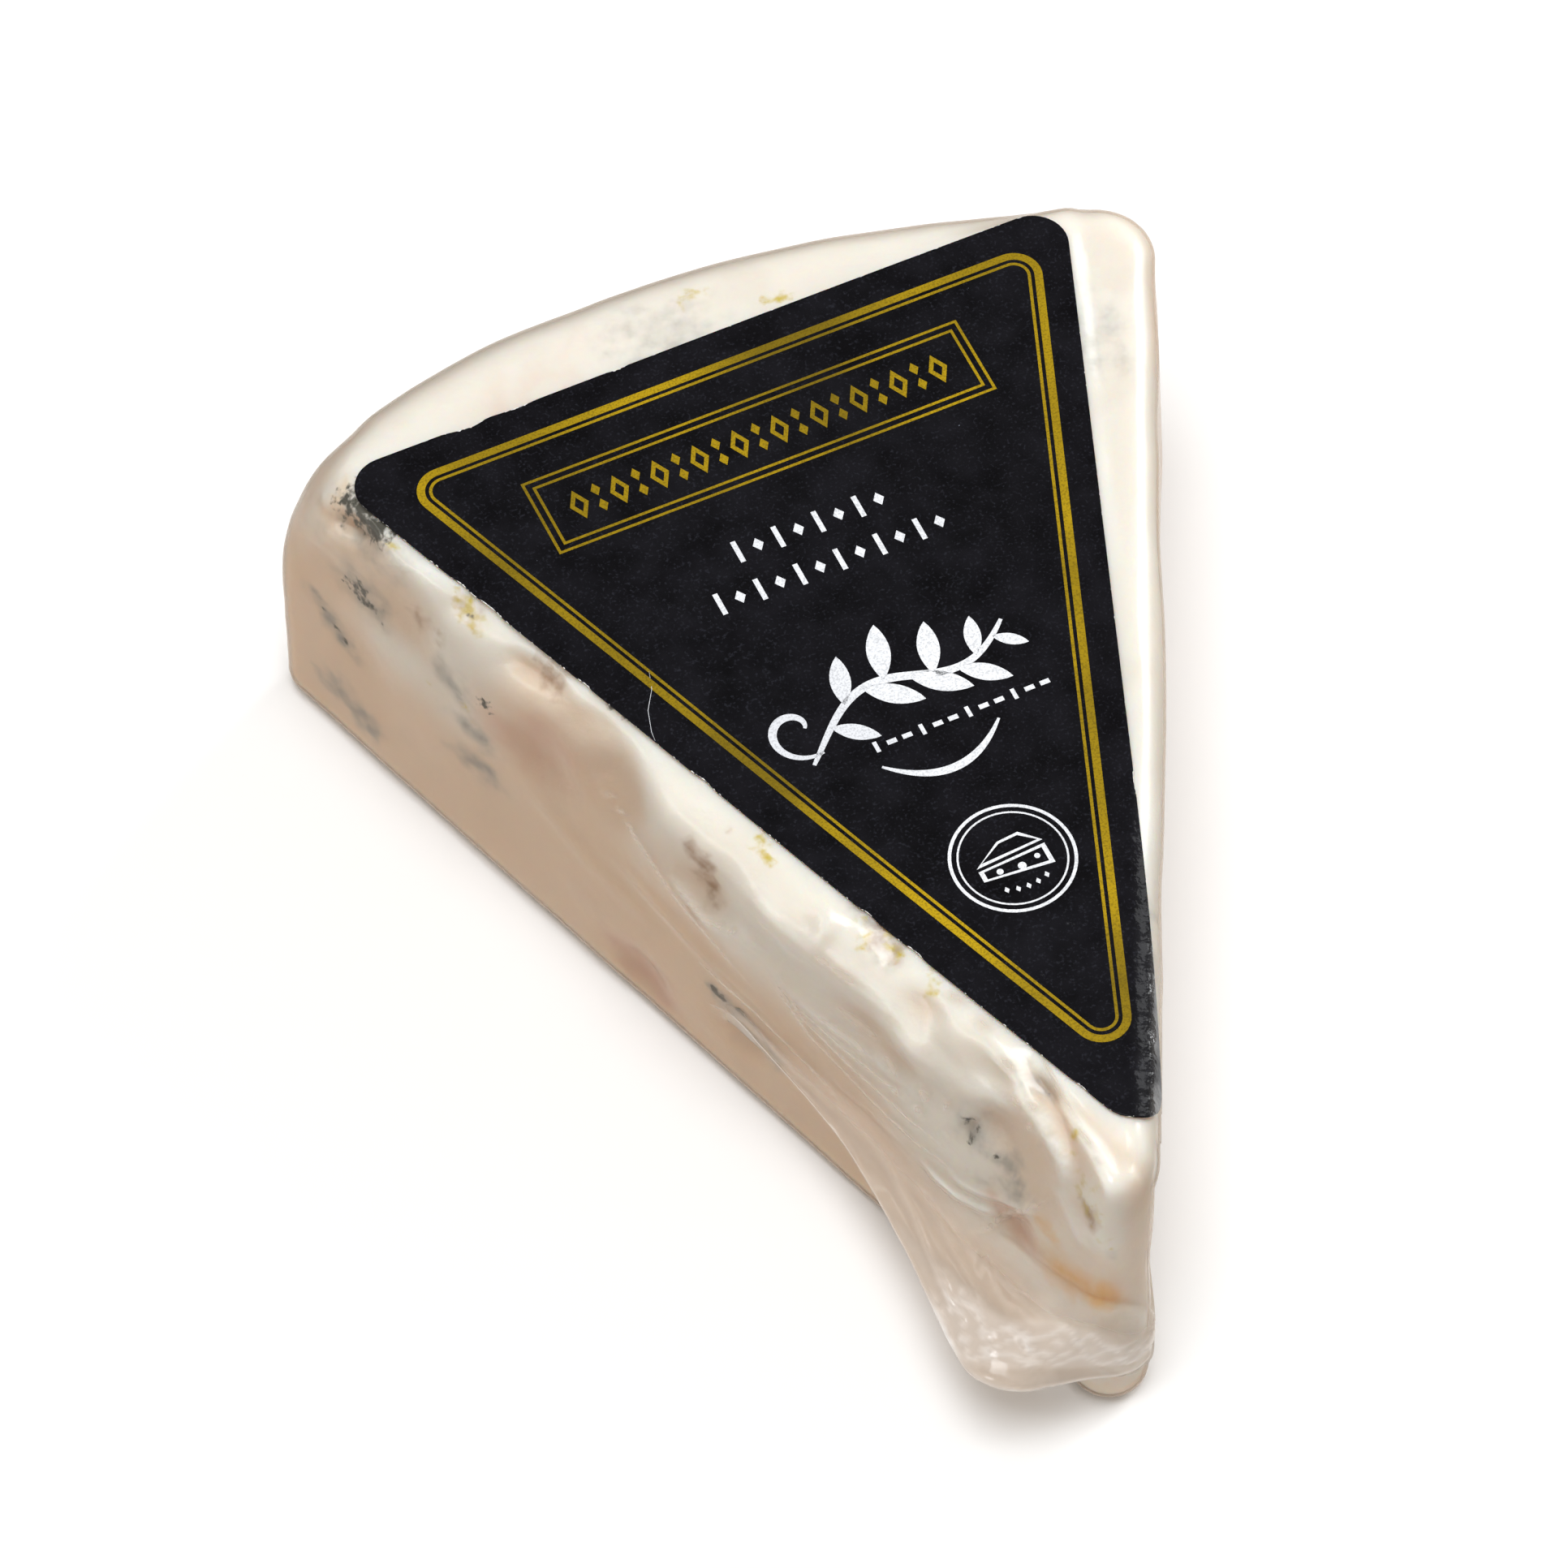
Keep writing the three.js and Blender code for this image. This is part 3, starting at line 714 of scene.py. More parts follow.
def cloud(tree, place, size, detail, contrast, offset=0.0):
    made = node(tree, "ShaderNodeGroup", place, node_tree=clouds)
    fill(made, Size=size, Detail=detail, Contrast=contrast, Offset=offset)
    return made.outputs["Mask"]


def painted(tree, place, name):
    return node(tree, "ShaderNodeAttribute", place, attribute_name=name).outputs["Fac"]


def ragged(tree, place, name, size, rough, low, high):
    """The mask of a painted mark, its edge broken up by cloud of the given size."""
    x, y = place
    mark = painted(tree, (x, y + 0.5), name)
    centred = calc(tree, (x, y), "SUBTRACT", cloud(tree, (x - 1, y), size, 3, 2.2, y), 0.5)
    inside = node(tree, "ShaderNodeMath", (x + 1, y + 0.5), operation="MULTIPLY", use_clamp=True)
    tree.links.new(mark, inside.inputs[0])
    inside.inputs[1].default_value = 6.0
    broken = calc(tree, (x + 1, y), "MULTIPLY", centred, rough)
    kept = calc(tree, (x + 2, y), "MULTIPLY", broken, inside.outputs[0])
    step = node(tree, "ShaderNodeMapRange", (x + 4, y), interpolation_type="SMOOTHSTEP")
    tree.links.new(calc(tree, (x + 3, y), "ADD", mark, kept), step.inputs["Value"])
    fill(step, From_Min=low, From_Max=high)
    return step.outputs["Result"]


def cheese_material():
    material = bpy.data.materials.new("blue_cheese")
    material.use_nodes = True
    tree = material.node_tree
    shader = tree.nodes["Principled BSDF"]
    broad = cloud(tree, (-1, 0), 16, 2, 2.4)
    fine = cloud(tree, (0, 1), 6, 3, 1.6, 4.0)
    paste = mix_colour(tree, (0, 0), broad, (0.82, 0.795, 0.725), (0.835, 0.845, 0.81))
    paste = mix_colour(tree, (1, 0), fine, paste, (0.83, 0.815, 0.76))
    # Pale paste over tan by the painted mask: the tan is partly the sides' own tone and partly painted shade,
    # the pale bulges a painted highlight.
    paste = mix_colour(tree, (1.5, 0), painted(tree, (0.5, 1), "cream_and_painted_light"), (0.74, 0.58, 0.43), paste)
    # What grows over the paste: kind, size of the cloud that breaks it up, how much it does so, the
    # strengths at which the colour starts and is full, and the colour.
    growths = [
        ("blush", 5, 0.35, 0.1, 1.1, (0.66, 0.42, 0.31)),
        ("orange", 3, 0.3, 0.0, 1.0, (0.78, 0.45, 0.14)),
        ("haze", 2.0, 0.5, 0.02, 1.3, (0.22, 0.235, 0.225)),
        ("rust", 1.6, 0.5, 0.1, 1.1, (0.30, 0.145, 0.05)),
        ("yellow", 1.1, 0.6, 0.2, 0.85, (0.60, 0.48, 0.05)),
        ("mould", 0.9, 0.9, 0.3, 0.75, (0.028, 0.036, 0.027)),
    ]
    for i, (kind, size, rough, low, high, colour) in enumerate(growths):
        mask = ragged(tree, (-2, 2 + 2 * i), kind, size, rough, low, high)
        paste = mix_colour(tree, (2 + i, 0), mask, paste, colour)
    tree.links.new(paste, shader.inputs["Base Color"])
    bump = fill(node(tree, "ShaderNodeBump", (7, 2)), Strength=0.25, Distance=0.0003)
    tree.links.new(cloud(tree, (6, 2), 1.4, 3, 1.5, 9.0), bump.inputs["Height"])
    tree.links.new(bump.outputs["Normal"], shader.inputs["Normal"])
    fill(shader, Roughness=0.42, IOR=1.42, Coat_Weight=0.6, Coat_Roughness=0.16)
    fill(shader, Subsurface_Weight=0.5, Subsurface_Radius=(1.0, 0.5, 0.25), Subsurface_Scale=0.005)
    return material


cheese.data.materials.append(cheese_material())
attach(cheese, "root")
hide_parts("cheese_wedge")

# ---------------------------------------------------------------------------------------------
# The film
# Thin clear film, shrunk tight on to the cheese. At the point the two ends of the sheet are welded
# together by a hot bar, which leaves ruffles, and the spare is cut off as a rounded skirt. From there
# the film stretches back along the left side, and leaves the cheese just above the free edge.
# ---------------------------------------------------------------------------------------------
film_gap = 0.28

# The free edge of the tail, followed back from the point. Each row: the place on the outline that it hangs
# from (distance along the left side, or round the point below its round's end), then its own distance along
# the side, distance out and height, then the height at which the film leaves the cheese.
tail_rows = [
    (-3, 8.0, -8.2, 6.4, 9.0),
    (0, 5.6, -6.3, 5.8, 12.0),
    (2, 4.5, -4.4, 5.8, 15.5),
    (3.5, 4.6, -2.2, 6.2, 17.5),
    (5, 5.6, 0.3, 7.2, 18.5),
    (6.2, 6.6, 2.4, 8.2, 18.6),
    (7.4, 7.2, 4.4, 8.7, 18.4),
    (8.6, 7.9, 6.7, 9.5, 18.0),
    (11, 9.9, 9.2, 9.9, 17.0),
    (15, 13.2, 10.2, 9.9, 16.0),
    (20, 18.6, 8.3, 9.8, 15.2),
    (26, 25.5, 5.4, 9.9, 15.0),
    (32, 32.0, 3.3, 10.3, 15.3),
    (38, 38.0, 1.7, 11.0, 15.0),
    (43, 43.0, 1.2, 11.8, 14.6),
    (51, 51.0, 0.7, 13.0, 15.2),
    (60, 60.0, 0.1, 14.8, 16.8),
]
point_arc = point_round / math.tan(half_angle)  # distance from the apex to the end of the point's round


def tail_columns():
    """For each column: the tail's edge, the height where the film leaves the cheese, how much of a tail
    there is, the place on the outline that the rows go by, and the distance run along the edge."""
    s_left, s_right = plan @ left_along, plan @ right_along
    from_left = np.degrees(np.arccos(np.clip(plan_out @ left_out, -1, 1)))
    whole = 180 - math.degrees(2 * half_angle)
    k = np.full(len(plan), 1e3)
    k[-stretches["left_side"]:] = s_left[-stretches["left_side"]:]
    k[: stretches["point"]] = point_arc * (1 - from_left[: stretches["point"]] / whole)
    near = slice(stretches["point"], stretches["point"] + 40)
    k[near] = point_arc - s_right[near]
    weight = smooth_step(-3, 0.2, k) * smooth_step(60, 52, k)
    rows = np.array(tail_rows).T
    s, d, z, leaves = (np.interp(k, rows[0], row) for row in rows[1:])
    run = np.cumsum(np.linalg.norm(np.diff(rows[1:4], axis=1, prepend=rows[1:4, :1]), axis=0))
    edge = np.column_stack([s[:, None] * left_along + d[:, None] * left_out, z])
    soften = np.hanning(11)[1:-1] / np.hanning(11)[1:-1].sum()

    def eased(values):
        wide = np.concatenate([values[-4:], values, values[:4]])
        return np.convolve(wide, soften, "valid")

    return np.column_stack([eased(c) for c in edge.T]), eased(leaves), weight, k, np.interp(k, rows[0], run)


tail_edge, tail_leaves, tail_weight, tail_k, tail_run = tail_columns()
low_rows, lower_rows, upper_rows, high_rows = 10, 9, 34, 34
# Shares of the upright side. Between them lie the rows that go out into the tail.
low_share, leave_share = 0.28, 0.45


def shares_between(start, end, count):
    return [start + (end - start) * (i + 1) / (count + 1) for i in range(count)]


slack_rows = shares_between(low_share, leave_share, lower_rows + upper_rows)
film_rings = under_rings + foot_rings
film_rings += [("side", share) for share in shares_between(0, low_share, low_rows)]
film_rings += [("side", share) for share in slack_rows]
film_rings += [("side", share) for share in shares_between(leave_share, 1, high_rows)]
film_rings += shoulder_rings + top_rings
film_smooth, film_normals = wedge_points(film_rings, film_gap)

# Where there is a tail, the rows of the slack part go out to its free edge and back.
tailed = film_smooth.copy()
first_low = len(under_rings + foot_rings)
in_tail = slice(first_low + low_rows, first_low + low_rows + lower_rows + upper_rows)
side_low, side_high = cheese_foot + foot_round, cheese_foot + cheese_height - down
returns = np.minimum(tail_edge[:, 2] - 0.9, 11.0)
half_film = np.array([0, 0, 0.12])
for i in range(low_rows):
    tailed[first_low + i, :, 2] = side_low + (returns - side_low) * (i + 1) / (low_rows + 1)
for i in range(lower_rows):
    row = tailed[in_tail.start + i]
    row[:, 2] = returns
    row += (tail_edge - half_film - row) * i / (lower_rows - 1)
for i in range(upper_rows):
    row = tailed[in_tail.start + lower_rows + i]
    share = 1 - i / (upper_rows - 1)
    row[:, 2] = tail_leaves
    row += (tail_edge + half_film - row) * share
    row[:, 2] -= 0.9 * math.sin(math.pi * share)
for i in range(high_rows):
    tailed[in_tail.stop + i, :, 2] = tail_leaves + (side_high - tail_leaves) * (i + 1) / (high_rows + 1)
film_smooth += (tailed - film_smooth) * tail_weight[:, None]

# The film follows the cheese under it, and has fine creases of its own.
film_height = relief(film_smooth - film_gap * film_normals, film_rings)
film_s, film_v = unroll(film_smooth, film_rings, left_along, left_out)
crease_marks = np.zeros(film_s.shape)
on_left_side = smooth_step(-14, -9, film_smooth[..., :2] @ left_out)
for path, width, rise in creases:
    d, at = path_distance(film_s, film_v, path)
    mark = on_left_side * np.exp(-((d / width) ** 2)) * smooth_step(0, 0.2, at) * smooth_step(1, 0.7, at)
    film_height += rise * mark
    crease_marks = np.maximum(crease_marks, mark)
film_grid = raise_surface(film_smooth, film_normals, film_height)
share_out = np.concatenate([np.linspace(0, 1, lower_rows), np.linspace(1, 0, upper_rows)])[:, None]
tail_plain = film_smooth[in_tail]
held = (1 - smooth_step(0, 0.12, share_out)) * tail_weight + (1 - tail_weight)
film_grid[in_tail] = tail_plain + (film_grid[in_tail] - tail_plain) * held[..., None]

# The tail's own wrinkles: the ruffles of the weld, a few tension lines and the ripple of the skirt.
tail_s = tail_plain[..., :2] @ left_along
tail_d = tail_plain[..., :2] @ left_out
# How far back from the free edge the weld runs: (place on the outline as above, distance).
weld_back = [(-3, 4.4), (3, 4.4), (6, 5), (9, 5.6), (12, 5), (16, 3.2), (21, 1.4)]
tail_length = np.linalg.norm(tail_edge - tailed[in_tail.stop - 1], axis=1)
signed = (1 - share_out) * tail_length - np.interp(tail_k, *zip(*weld_back))
in_weld = smooth_step(3.4, 2.2, np.abs(signed)) * smooth_step(25, 19, tail_k)
ruffle = np.zeros_like(signed)
# Each line of the weld: its distance from the weld's middle, how far it sways, how long a sway is, its start.
weld_lines = [(-1.7, 0.6, 4.3, 0.3), (-0.2, 0.9, 3.7, 2.1), (1.3, 0.6, 5.0, 4.0)]
for lane, (middle, swing, length, start) in enumerate(weld_lines):
    stray = 0.9 * np.sin(tail_run * 0.7 + lane)
    line = middle + swing * np.sin(2 * math.pi * tail_run / length + start + stray)
    ruffle += np.exp(-(((signed - line) / 0.32) ** 2))
# Lines where the tail is pulled: (distance along the side, distance out from it), half width, height.
tension_lines = [
    ([(36, 0.4), (28, 2.6), (19, 6.4)], 0.32, 0.3),
    ([(33, 0.3), (25, 2.0), (17, 4.6)], 0.28, 0.25),
    ([(26, 0.2), (20, 1.4), (14.5, 2.6)], 0.35, 0.3),
    ([(19.2, 0.2), (19.0, 3.2), (19.4, 6.8)], 0.12, 0.3),
    ([(15.5, 0.2), (13.4, 2.4)], 0.3, 0.25),
    ([(21.5, 6.6), (17, 9.0), (12, 9.4), (9.4, 8.2)], 0.3, 0.25),
    ([(14.5, 6.2), (11.8, 8.6)], 0.2, 0.3),
    ([(11.5, 4.4), (8.8, 6.2)], 0.22, 0.3),
]
tension = np.zeros_like(signed)
for path, width, rise in tension_lines:
    d, _ = path_distance(tail_s, tail_d, path)
    tension += rise * np.exp(-((d / width) ** 2))
tail_flat = tail_plain * np.array([1, 1, 0])
ripple = 0.35 * waves(tail_flat, 4.2, 5.5) + 0.14 * waves(tail_flat, 1.7, 2.2)
lift = 0.2 * ruffle * in_weld + tension + ripple * (0.35 + 0.65 * share_out)
lift = lift * smooth_step(0.02, 0.25, share_out) * tail_weight
upright = smooth_step(7, 3, tail_k)
film_grid[in_tail, :, 2] += lift * (1 - 0.8 * upright)
film_grid[in_tail, :, :2] += (lift * 0.35 * (1 - upright))[..., None] * left_out
film_grid[in_tail, :, :2] += (np.maximum(lift, -0.1) * upright)[..., None] * plan_out

film = grid_mesh("film_skin", film_grid)
# A little haze all over the film; the extra white along the fine creases is a painted highlight.
haze_and_highlight = 0.05 + 0.05 * smooth_step(0.3, 0.9, waves(film_smooth, 6, 8.8)) + 0.34 * crease_marks
# In the tail the double sheet and the weld are milky; the extra white on the weld's ruffles, the tension
# lines and along the free edge is painted highlight.
tail_haze_and_highlight = 0.38 + 0.2 * in_weld + 0.15 * np.clip(ruffle, 0, 1) * in_weld + 0.35 * np.clip(tension, 0, 0.6)
tail_haze_and_highlight = tail_haze_and_highlight + 0.3 * smooth_step(0.95, 1.0, share_out)
tail_spread = tail_weight * smooth_step(0.0, 0.35 + 0.35 * upright, share_out)
haze_and_highlight[in_tail] = np.maximum(haze_and_highlight[in_tail], tail_spread * tail_haze_and_highlight)
paint(film, "haze_and_highlight", haze_and_highlight)


def film_material():
    material = bpy.data.materials.new("shrink_film")
    material.use_nodes = True
    tree = material.node_tree
    shader = tree.nodes["Principled BSDF"]
    # The mask turns the film from tan to white and less clear: real haze in the tail and weld, painted
    # highlight along the creases, ruffles, tension lines and free edge.
    white = node(tree, "ShaderNodeMapRange", (-2, -1))
    tree.links.new(painted(tree, (-3, -1), "haze_and_highlight"), white.inputs["Value"])
    fill(white, From_Min=0.45, From_Max=1.0)
    tint = mix_colour(tree, (-1, -1), white.outputs["Result"], (0.66, 0.56, 0.47), (0.93, 0.91, 0.89))
    tree.links.new(tint, shader.inputs["Base Color"])
    fill(shader, Roughness=0.14, IOR=1.5, Specular_IOR_Level=0.7)
    bump = fill(node(tree, "ShaderNodeBump", (-1, 2)), Strength=0.12, Distance=0.0003)
    tree.links.new(cloud(tree, (-2, 2), 2.5, 2, 1.2, 2.0), bump.inputs["Height"])
    tree.links.new(bump.outputs["Normal"], shader.inputs["Normal"])
    clear = node(tree, "ShaderNodeBsdfTransparent", (0, 2))
    glow = fill(node(tree, "ShaderNodeBsdfTranslucent", (0, 3)), Color=(0.74, 0.65, 0.56, 1))
    cloudy = fill(node(tree, "ShaderNodeMixShader", (1, 3)), Fac=0.25)
    tree.links.new(shader.outputs[0], cloudy.inputs[1])
    tree.links.new(glow.outputs[0], cloudy.inputs[2])
    gloss = fill(node(tree, "ShaderNodeFresnel", (-1, 0)), IOR=1.33)
    patchy = calc(tree, (-2, 1.5), "ADD", 0.75, cloud(tree, (-3, 1.5), 4, 3, 0.5, 6.0))
    haze = calc(tree, (-1, 1), "MULTIPLY", painted(tree, (-3, 1), "haze_and_highlight"), patchy)
    amount = node(tree, "ShaderNodeMath", (0, 0), operation="ADD", use_clamp=True)
    tree.links.new(gloss.outputs["Fac"], amount.inputs[0])
    tree.links.new(haze, amount.inputs[1])
    blend = node(tree, "ShaderNodeMixShader", (2, 0))
    tree.links.new(amount.outputs[0], blend.inputs["Fac"])
    tree.links.new(clear.outputs[0], blend.inputs[1])
    tree.links.new(cloudy.outputs[0], blend.inputs[2])
    tree.links.new(blend.outputs[0], tree.nodes["Material Output"].inputs["Surface"])
    return material


film.data.materials.append(film_material())
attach(film, "root")
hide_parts("film_wrap")

# ---------------------------------------------------------------------------------------------
# The label
# Thin black paper cut to a triangle with round corners, stuck to the film. It is turned a little, so
# its point runs over the right shoulder and bends down there. The cut shows white paper in places.
# ---------------------------------------------------------------------------------------------
label_corner = 3.4
paper = 0.14
label_gap = 0.06


def rounded_triangle(inset, corner_radius, step, shift=0.0):
    """The label's outline moved in by inset on every side, in its own plane, as an array of points."""
    slope = math.atan2(label_half_base, label_length)
    half = label_half_base - inset * (1 + math.sin(slope)) / math.cos(slope)
    depth = half / math.tan(slope)
    corners = [np.array(p) for p in ((shift, -inset - depth), (shift + half, -inset), (shift - half, -inset))]
    points = []
    for i, corner in enumerate(corners):
        before = corners[i - 1] - corner
        after = corners[(i + 1) % 3] - corner
        before, after = before / np.linalg.norm(before), after / np.linalg.norm(after)
        opening = math.acos(before @ after)
        bisector = (before + after) / np.linalg.norm(before + after)
        centre = corner + bisector * corner_radius / math.sin(opening / 2)
        middle = math.atan2(-bisector[1], -bisector[0])
        sweep = (math.pi - opening) / 2
        for k in range(13):
            angle = middle + sweep * (2 * k / 12 - 1)
            points.append(centre + corner_radius * np.array([math.cos(angle), math.sin(angle)]))
    outline = []
    for a, b in zip(points, points[1:] + points[:1]):
        pieces = max(1, math.ceil(math.dist(a, b) / step))
        outline += [a + (b - a) * n / pieces for n in range(pieces)]
    return np.array(outline)


def lay(flat, lift):
    """Points of the label's plane laid on the film: they share the top's bow and bend over the shoulders."""
    c, s_ = math.cos(label_turn), math.sin(label_turn)
    x = c * flat[..., 0] - s_ * flat[..., 1] + label_shift
    y = s_ * flat[..., 0] + c * flat[..., 1] + label_rear
    z = top_height + film_gap + label_gap + lift + np.zeros_like(x)
    plan = np.stack([x, y], -1)
    bend = cut_shoulder + film_gap + label_gap
    for out in (left_out, right_out):
        past = np.maximum(plan @ out + cut_shoulder, 0)
        turned = np.minimum(past / (bend + paper / 2), quarter)
        hang = past - turned * (bend + paper / 2)
        plan = plan + out * ((bend + lift) * np.sin(turned) - past)[..., None]
        z = z - (bend + lift) * (1 - np.cos(turned)) - hang
    return np.concatenate([plan, (z + bow(plan[..., 0], plan[..., 1]))[..., None]], -1)


# Small tears where the die bruised the edge: place in the label's plane, length and depth.
nicks = [
    ((-24.5, 0), 1.4, 0.3),
    ((-23.2, 0), 0.9, 0.2),
    ((-19, 0), 1.8, 0.12),
    ((-8.5, 0), 0.8, 0.12),
    ((-31.9, -16.4), 1.0, 0.22),
    ((-30.6, -19.8), 1.4, 0.2),
    ((-26.2, -31.4), 0.7, 0.12),
    ((-20.8, -45.8), 1.0, 0.15),
    ((-13.4, -65.2), 0.8, 0.2),
    ((-11.4, -70.6), 0.9, 0.22),
    ((-4.2, -89.6), 0.7, 0.15),
    ((14.6, -62.4), 0.9, 0.12),
]


def bruised(outline):
    """The outline with its nicks, and how strongly each point is bruised."""
    inward = label_centre - outline
    inward = inward / np.linalg.norm(inward, axis=1)[:, None]
    moved, bruise = outline.copy(), np.zeros(len(outline))
    for place, length, depth in nicks:
        nearest = np.linalg.norm(outline - place, axis=1)
        hit = np.clip(1.3 - (nearest - nearest.min()) / length, 0, 1)
        moved += inward * (depth * hit)[:, None]
        bruise = np.maximum(bruise, hit)
    return moved, bruise


label_centre = np.array([0, -0.36 * label_length])
label_outline, label_bruise = bruised(rounded_triangle(0, label_corner, 0.55))


def label_ring(share, lift):
    return lay(label_centre + (label_outline - label_centre) * share, lift)


rim_shares = [1 - 0.002 * i**1.6 for i in range(1, 12)]
inner_shares = [0.9 - 0.03 * i for i in range(30)]
label_shares = [1.0] + rim_shares + inner_shares
label_rows = [label_ring(share, 0) for share in reversed(label_shares)]
label_rows += [label_ring(share, paper) for share in label_shares]
label = grid_mesh("label_sheet", np.array(label_rows))
rim = np.array([np.exp(-(1 - share) / 0.004) for share in [*reversed(label_shares), *label_shares]])
paint(label, "rim", rim[:, None] * (0.62 + 0.38 * label_bruise))
drop = top_height - np.array(label_rows)[..., 2]
paint(label, "bent", smooth_step(-0.1, 0.5, drop))


def label_material():
    material = bpy.data.materials.new("black_label_paper")
    material.use_nodes = True
    tree = material.node_tree
    shader = tree.nodes["Principled BSDF"]
    mottle = cloud(tree, (-1, 0), 3.5, 6, 2.8)
    ink = mix_colour(tree, (0, 0), mottle, (0.0014, 0.0013, 0.0022), (0.006, 0.0058, 0.0082))
    grain = node(tree, "ShaderNodeMapRange", (1, 1), interpolation_type="SMOOTHSTEP")
    tree.links.new(cloud(tree, (0, 1), 0.3, 3, 1.6, 3.0), grain.inputs["Value"])
    fill(grain, From_Min=0.55, From_Max=0.9, To_Max=0.6)
    ink = mix_colour(tree, (2, 0), grain.outputs["Result"], ink, (0.022, 0.023, 0.031))
    dust = node(tree, "ShaderNodeMapRange", (1, 3))
    tree.links.new(cloud(tree, (0, 3), 0.22, 0, 1.0, 12.0), dust.inputs["Value"])
    fill(dust, From_Min=0.93, From_Max=0.97, To_Max=0.5)
    ink = mix_colour(tree, (3, 0), dust.outputs["Result"], ink, (0.4, 0.45, 0.55))
    ink = mix_colour(tree, (4, 0), ragged(tree, (-1, 5), "rim", 0.5, 0.9, 0.8, 0.95), ink, (0.85, 0.85, 0.84))
    tree.links.new(ink, shader.inputs["Base Color"])
    rough = node(tree, "ShaderNodeMapRange", (3, 3))
    tree.links.new(cloud(tree, (2, 3), 2.4, 4, 1.6, 5.0), rough.inputs["Value"])
    fill(rough, To_Min=0.34, To_Max=0.5)
    tree.links.new(rough.outputs["Result"], shader.inputs["Roughness"])
    bump = fill(node(tree, "ShaderNodeBump", (4, 3)), Strength=0.2, Distance=0.00005)
    tree.links.new(cloud(tree, (3, 4), 0.5, 4, 1.2, 8.0), bump.inputs["Height"])
    tree.links.new(bump.outputs["Normal"], shader.inputs["Normal"])
    dents = fill(node(tree, "ShaderNodeBump", (4, 7)), Strength=0.5, Distance=0.0004)
    tree.links.new(cloud(tree, (3, 7), 1.8, 3, 1.5, 11.0), dents.inputs["Height"])
    tree.links.new(dents.outputs["Normal"], shader.inputs["Coat Normal"])
    broken = calc(tree, (3, 6), "ADD", 0.35, cloud(tree, (2, 6), 3.2, 4, 3.0, 5.0))
    shine = node(tree, "ShaderNodeMapRange", (5, 5))
    on_bend = calc(tree, (4, 5), "MULTIPLY", painted(tree, (3, 5), "bent"), broken)
    tree.links.new(on_bend, shine.inputs["Value"])
    fill(shine, To_Min=0.03, To_Max=1.0)
    tree.links.new(shine.outputs["Result"], shader.inputs["Coat Weight"])
    fill(shader, Specular_IOR_Level=0.04, Coat_Roughness=0.17, Coat_IOR=2.5)
    return material


label.data.materials.append(label_material())
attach(label, "root")
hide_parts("label")

# ---------------------------------------------------------------------------------------------
# The print on the label
# Gold and white inks, laid down thick enough to stand a little proud of the paper: a double gold
# border, a gold plate with a row of lozenges, and in white a sprig, two rows of marks and a round badge.
# ---------------------------------------------------------------------------------------------
ink_lift = paper + 0.02
ink_foot = paper - 0.05


class Print:
    """Closed slabs of ink in the label's plane, gathered into one mesh for each colour."""

    def __init__(self, name):
        self.name, self.corners, self.faces = name, [], []

    def band(self, outer, inner):
        """A closed band of ink between two outlines that have the same number of points."""
        count = len(outer)
        first = sum(len(c) for c in self.corners)
        for edge, lift in ((outer, ink_foot), (outer, ink_lift), (inner, ink_lift), (inner, ink_foot)):
            self.corners.append(lay(np.asarray(edge), lift))
        for ring in range(4):
            for i in range(count):
                a, b = first + ring * count + i, first + ring * count + (i + 1) % count
                c, d = first + (ring + 1) % 4 * count + (i + 1) % count, first + (ring + 1) % 4 * count + i
                self.faces.append((a, b, c, d))

    def patch(self, outline):
        """A filled convex or star-shaped patch of ink."""
        outline = np.asarray(outline)
        count = len(outline)
        first = sum(len(c) for c in self.corners)
        middle = outline.mean(0, keepdims=True)
        for edge, lift in ((outline, ink_foot), (outline, ink_lift), (middle, ink_foot), (middle, ink_lift)):
            self.corners.append(lay(edge, lift))
        low, high = first + 2 * count, first + 2 * count + 1
        for i in range(count):
            a, b = first + i, first + (i + 1) % count
            self.faces += [(a, b, b + count, a + count), (b, a, low), (a + count, b + count, high)]

    def stroke(self, path, widths):
        """A pen stroke along a path, with its width at each point."""
        path, widths = np.asarray(path, float), np.asarray(widths, float)
        run = np.gradient(path, axis=0)
        side = np.column_stack([-run[:, 1], run[:, 0]]) / np.linalg.norm(run, axis=1)[:, None]
        leftward, rightward = path + side * widths[:, None] / 2, path - side * widths[:, None] / 2
        count = len(path)
        first = sum(len(c) for c in self.corners)
        for edge, lifts in ((leftward, (ink_foot, ink_lift)), (rightward, (ink_lift, ink_foot))):
            self.corners += [lay(edge, lift) for lift in lifts]
        for ring in range(4):
            for i in range(count - 1):
                a, b = first + ring * count + i, first + (ring + 1) % 4 * count + i
                self.faces.append((a + 1, a, b, b + 1))
        ends = [first + ring * count for ring in range(4)]
        self.faces += [tuple(ends), tuple(e + count - 1 for e in reversed(ends))]

    def finish(self, material):
        mesh = bpy.data.meshes.new(self.name)
        mesh.from_pydata(((np.vstack(self.corners) + apex) / 1000).tolist(), [], self.faces)
        mesh.update()
        piece = bpy.data.objects.new(self.name, mesh)
        bpy.context.scene.collection.objects.link(piece)
        piece.data.materials.append(material)
        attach(piece, "root")
        return piece


def rectangle(x, y, width, height, step=1.5):
    """A rectangle's outline about its middle, anticlockwise, with points along its sides."""
    across, up = max(1, round(width / step)), max(1, round(height / step))
    xs, ys = np.linspace(-width / 2, width / 2, across + 1), np.linspace(-height / 2, height / 2, up + 1)
    points = [(a, -height / 2) for a in xs[:-1]] + [(width / 2, b) for b in ys[:-1]]
    points += [(a, height / 2) for a in xs[:0:-1]] + [(-width / 2, b) for b in ys[:0:-1]]
    return np.array(points) + (x, y)


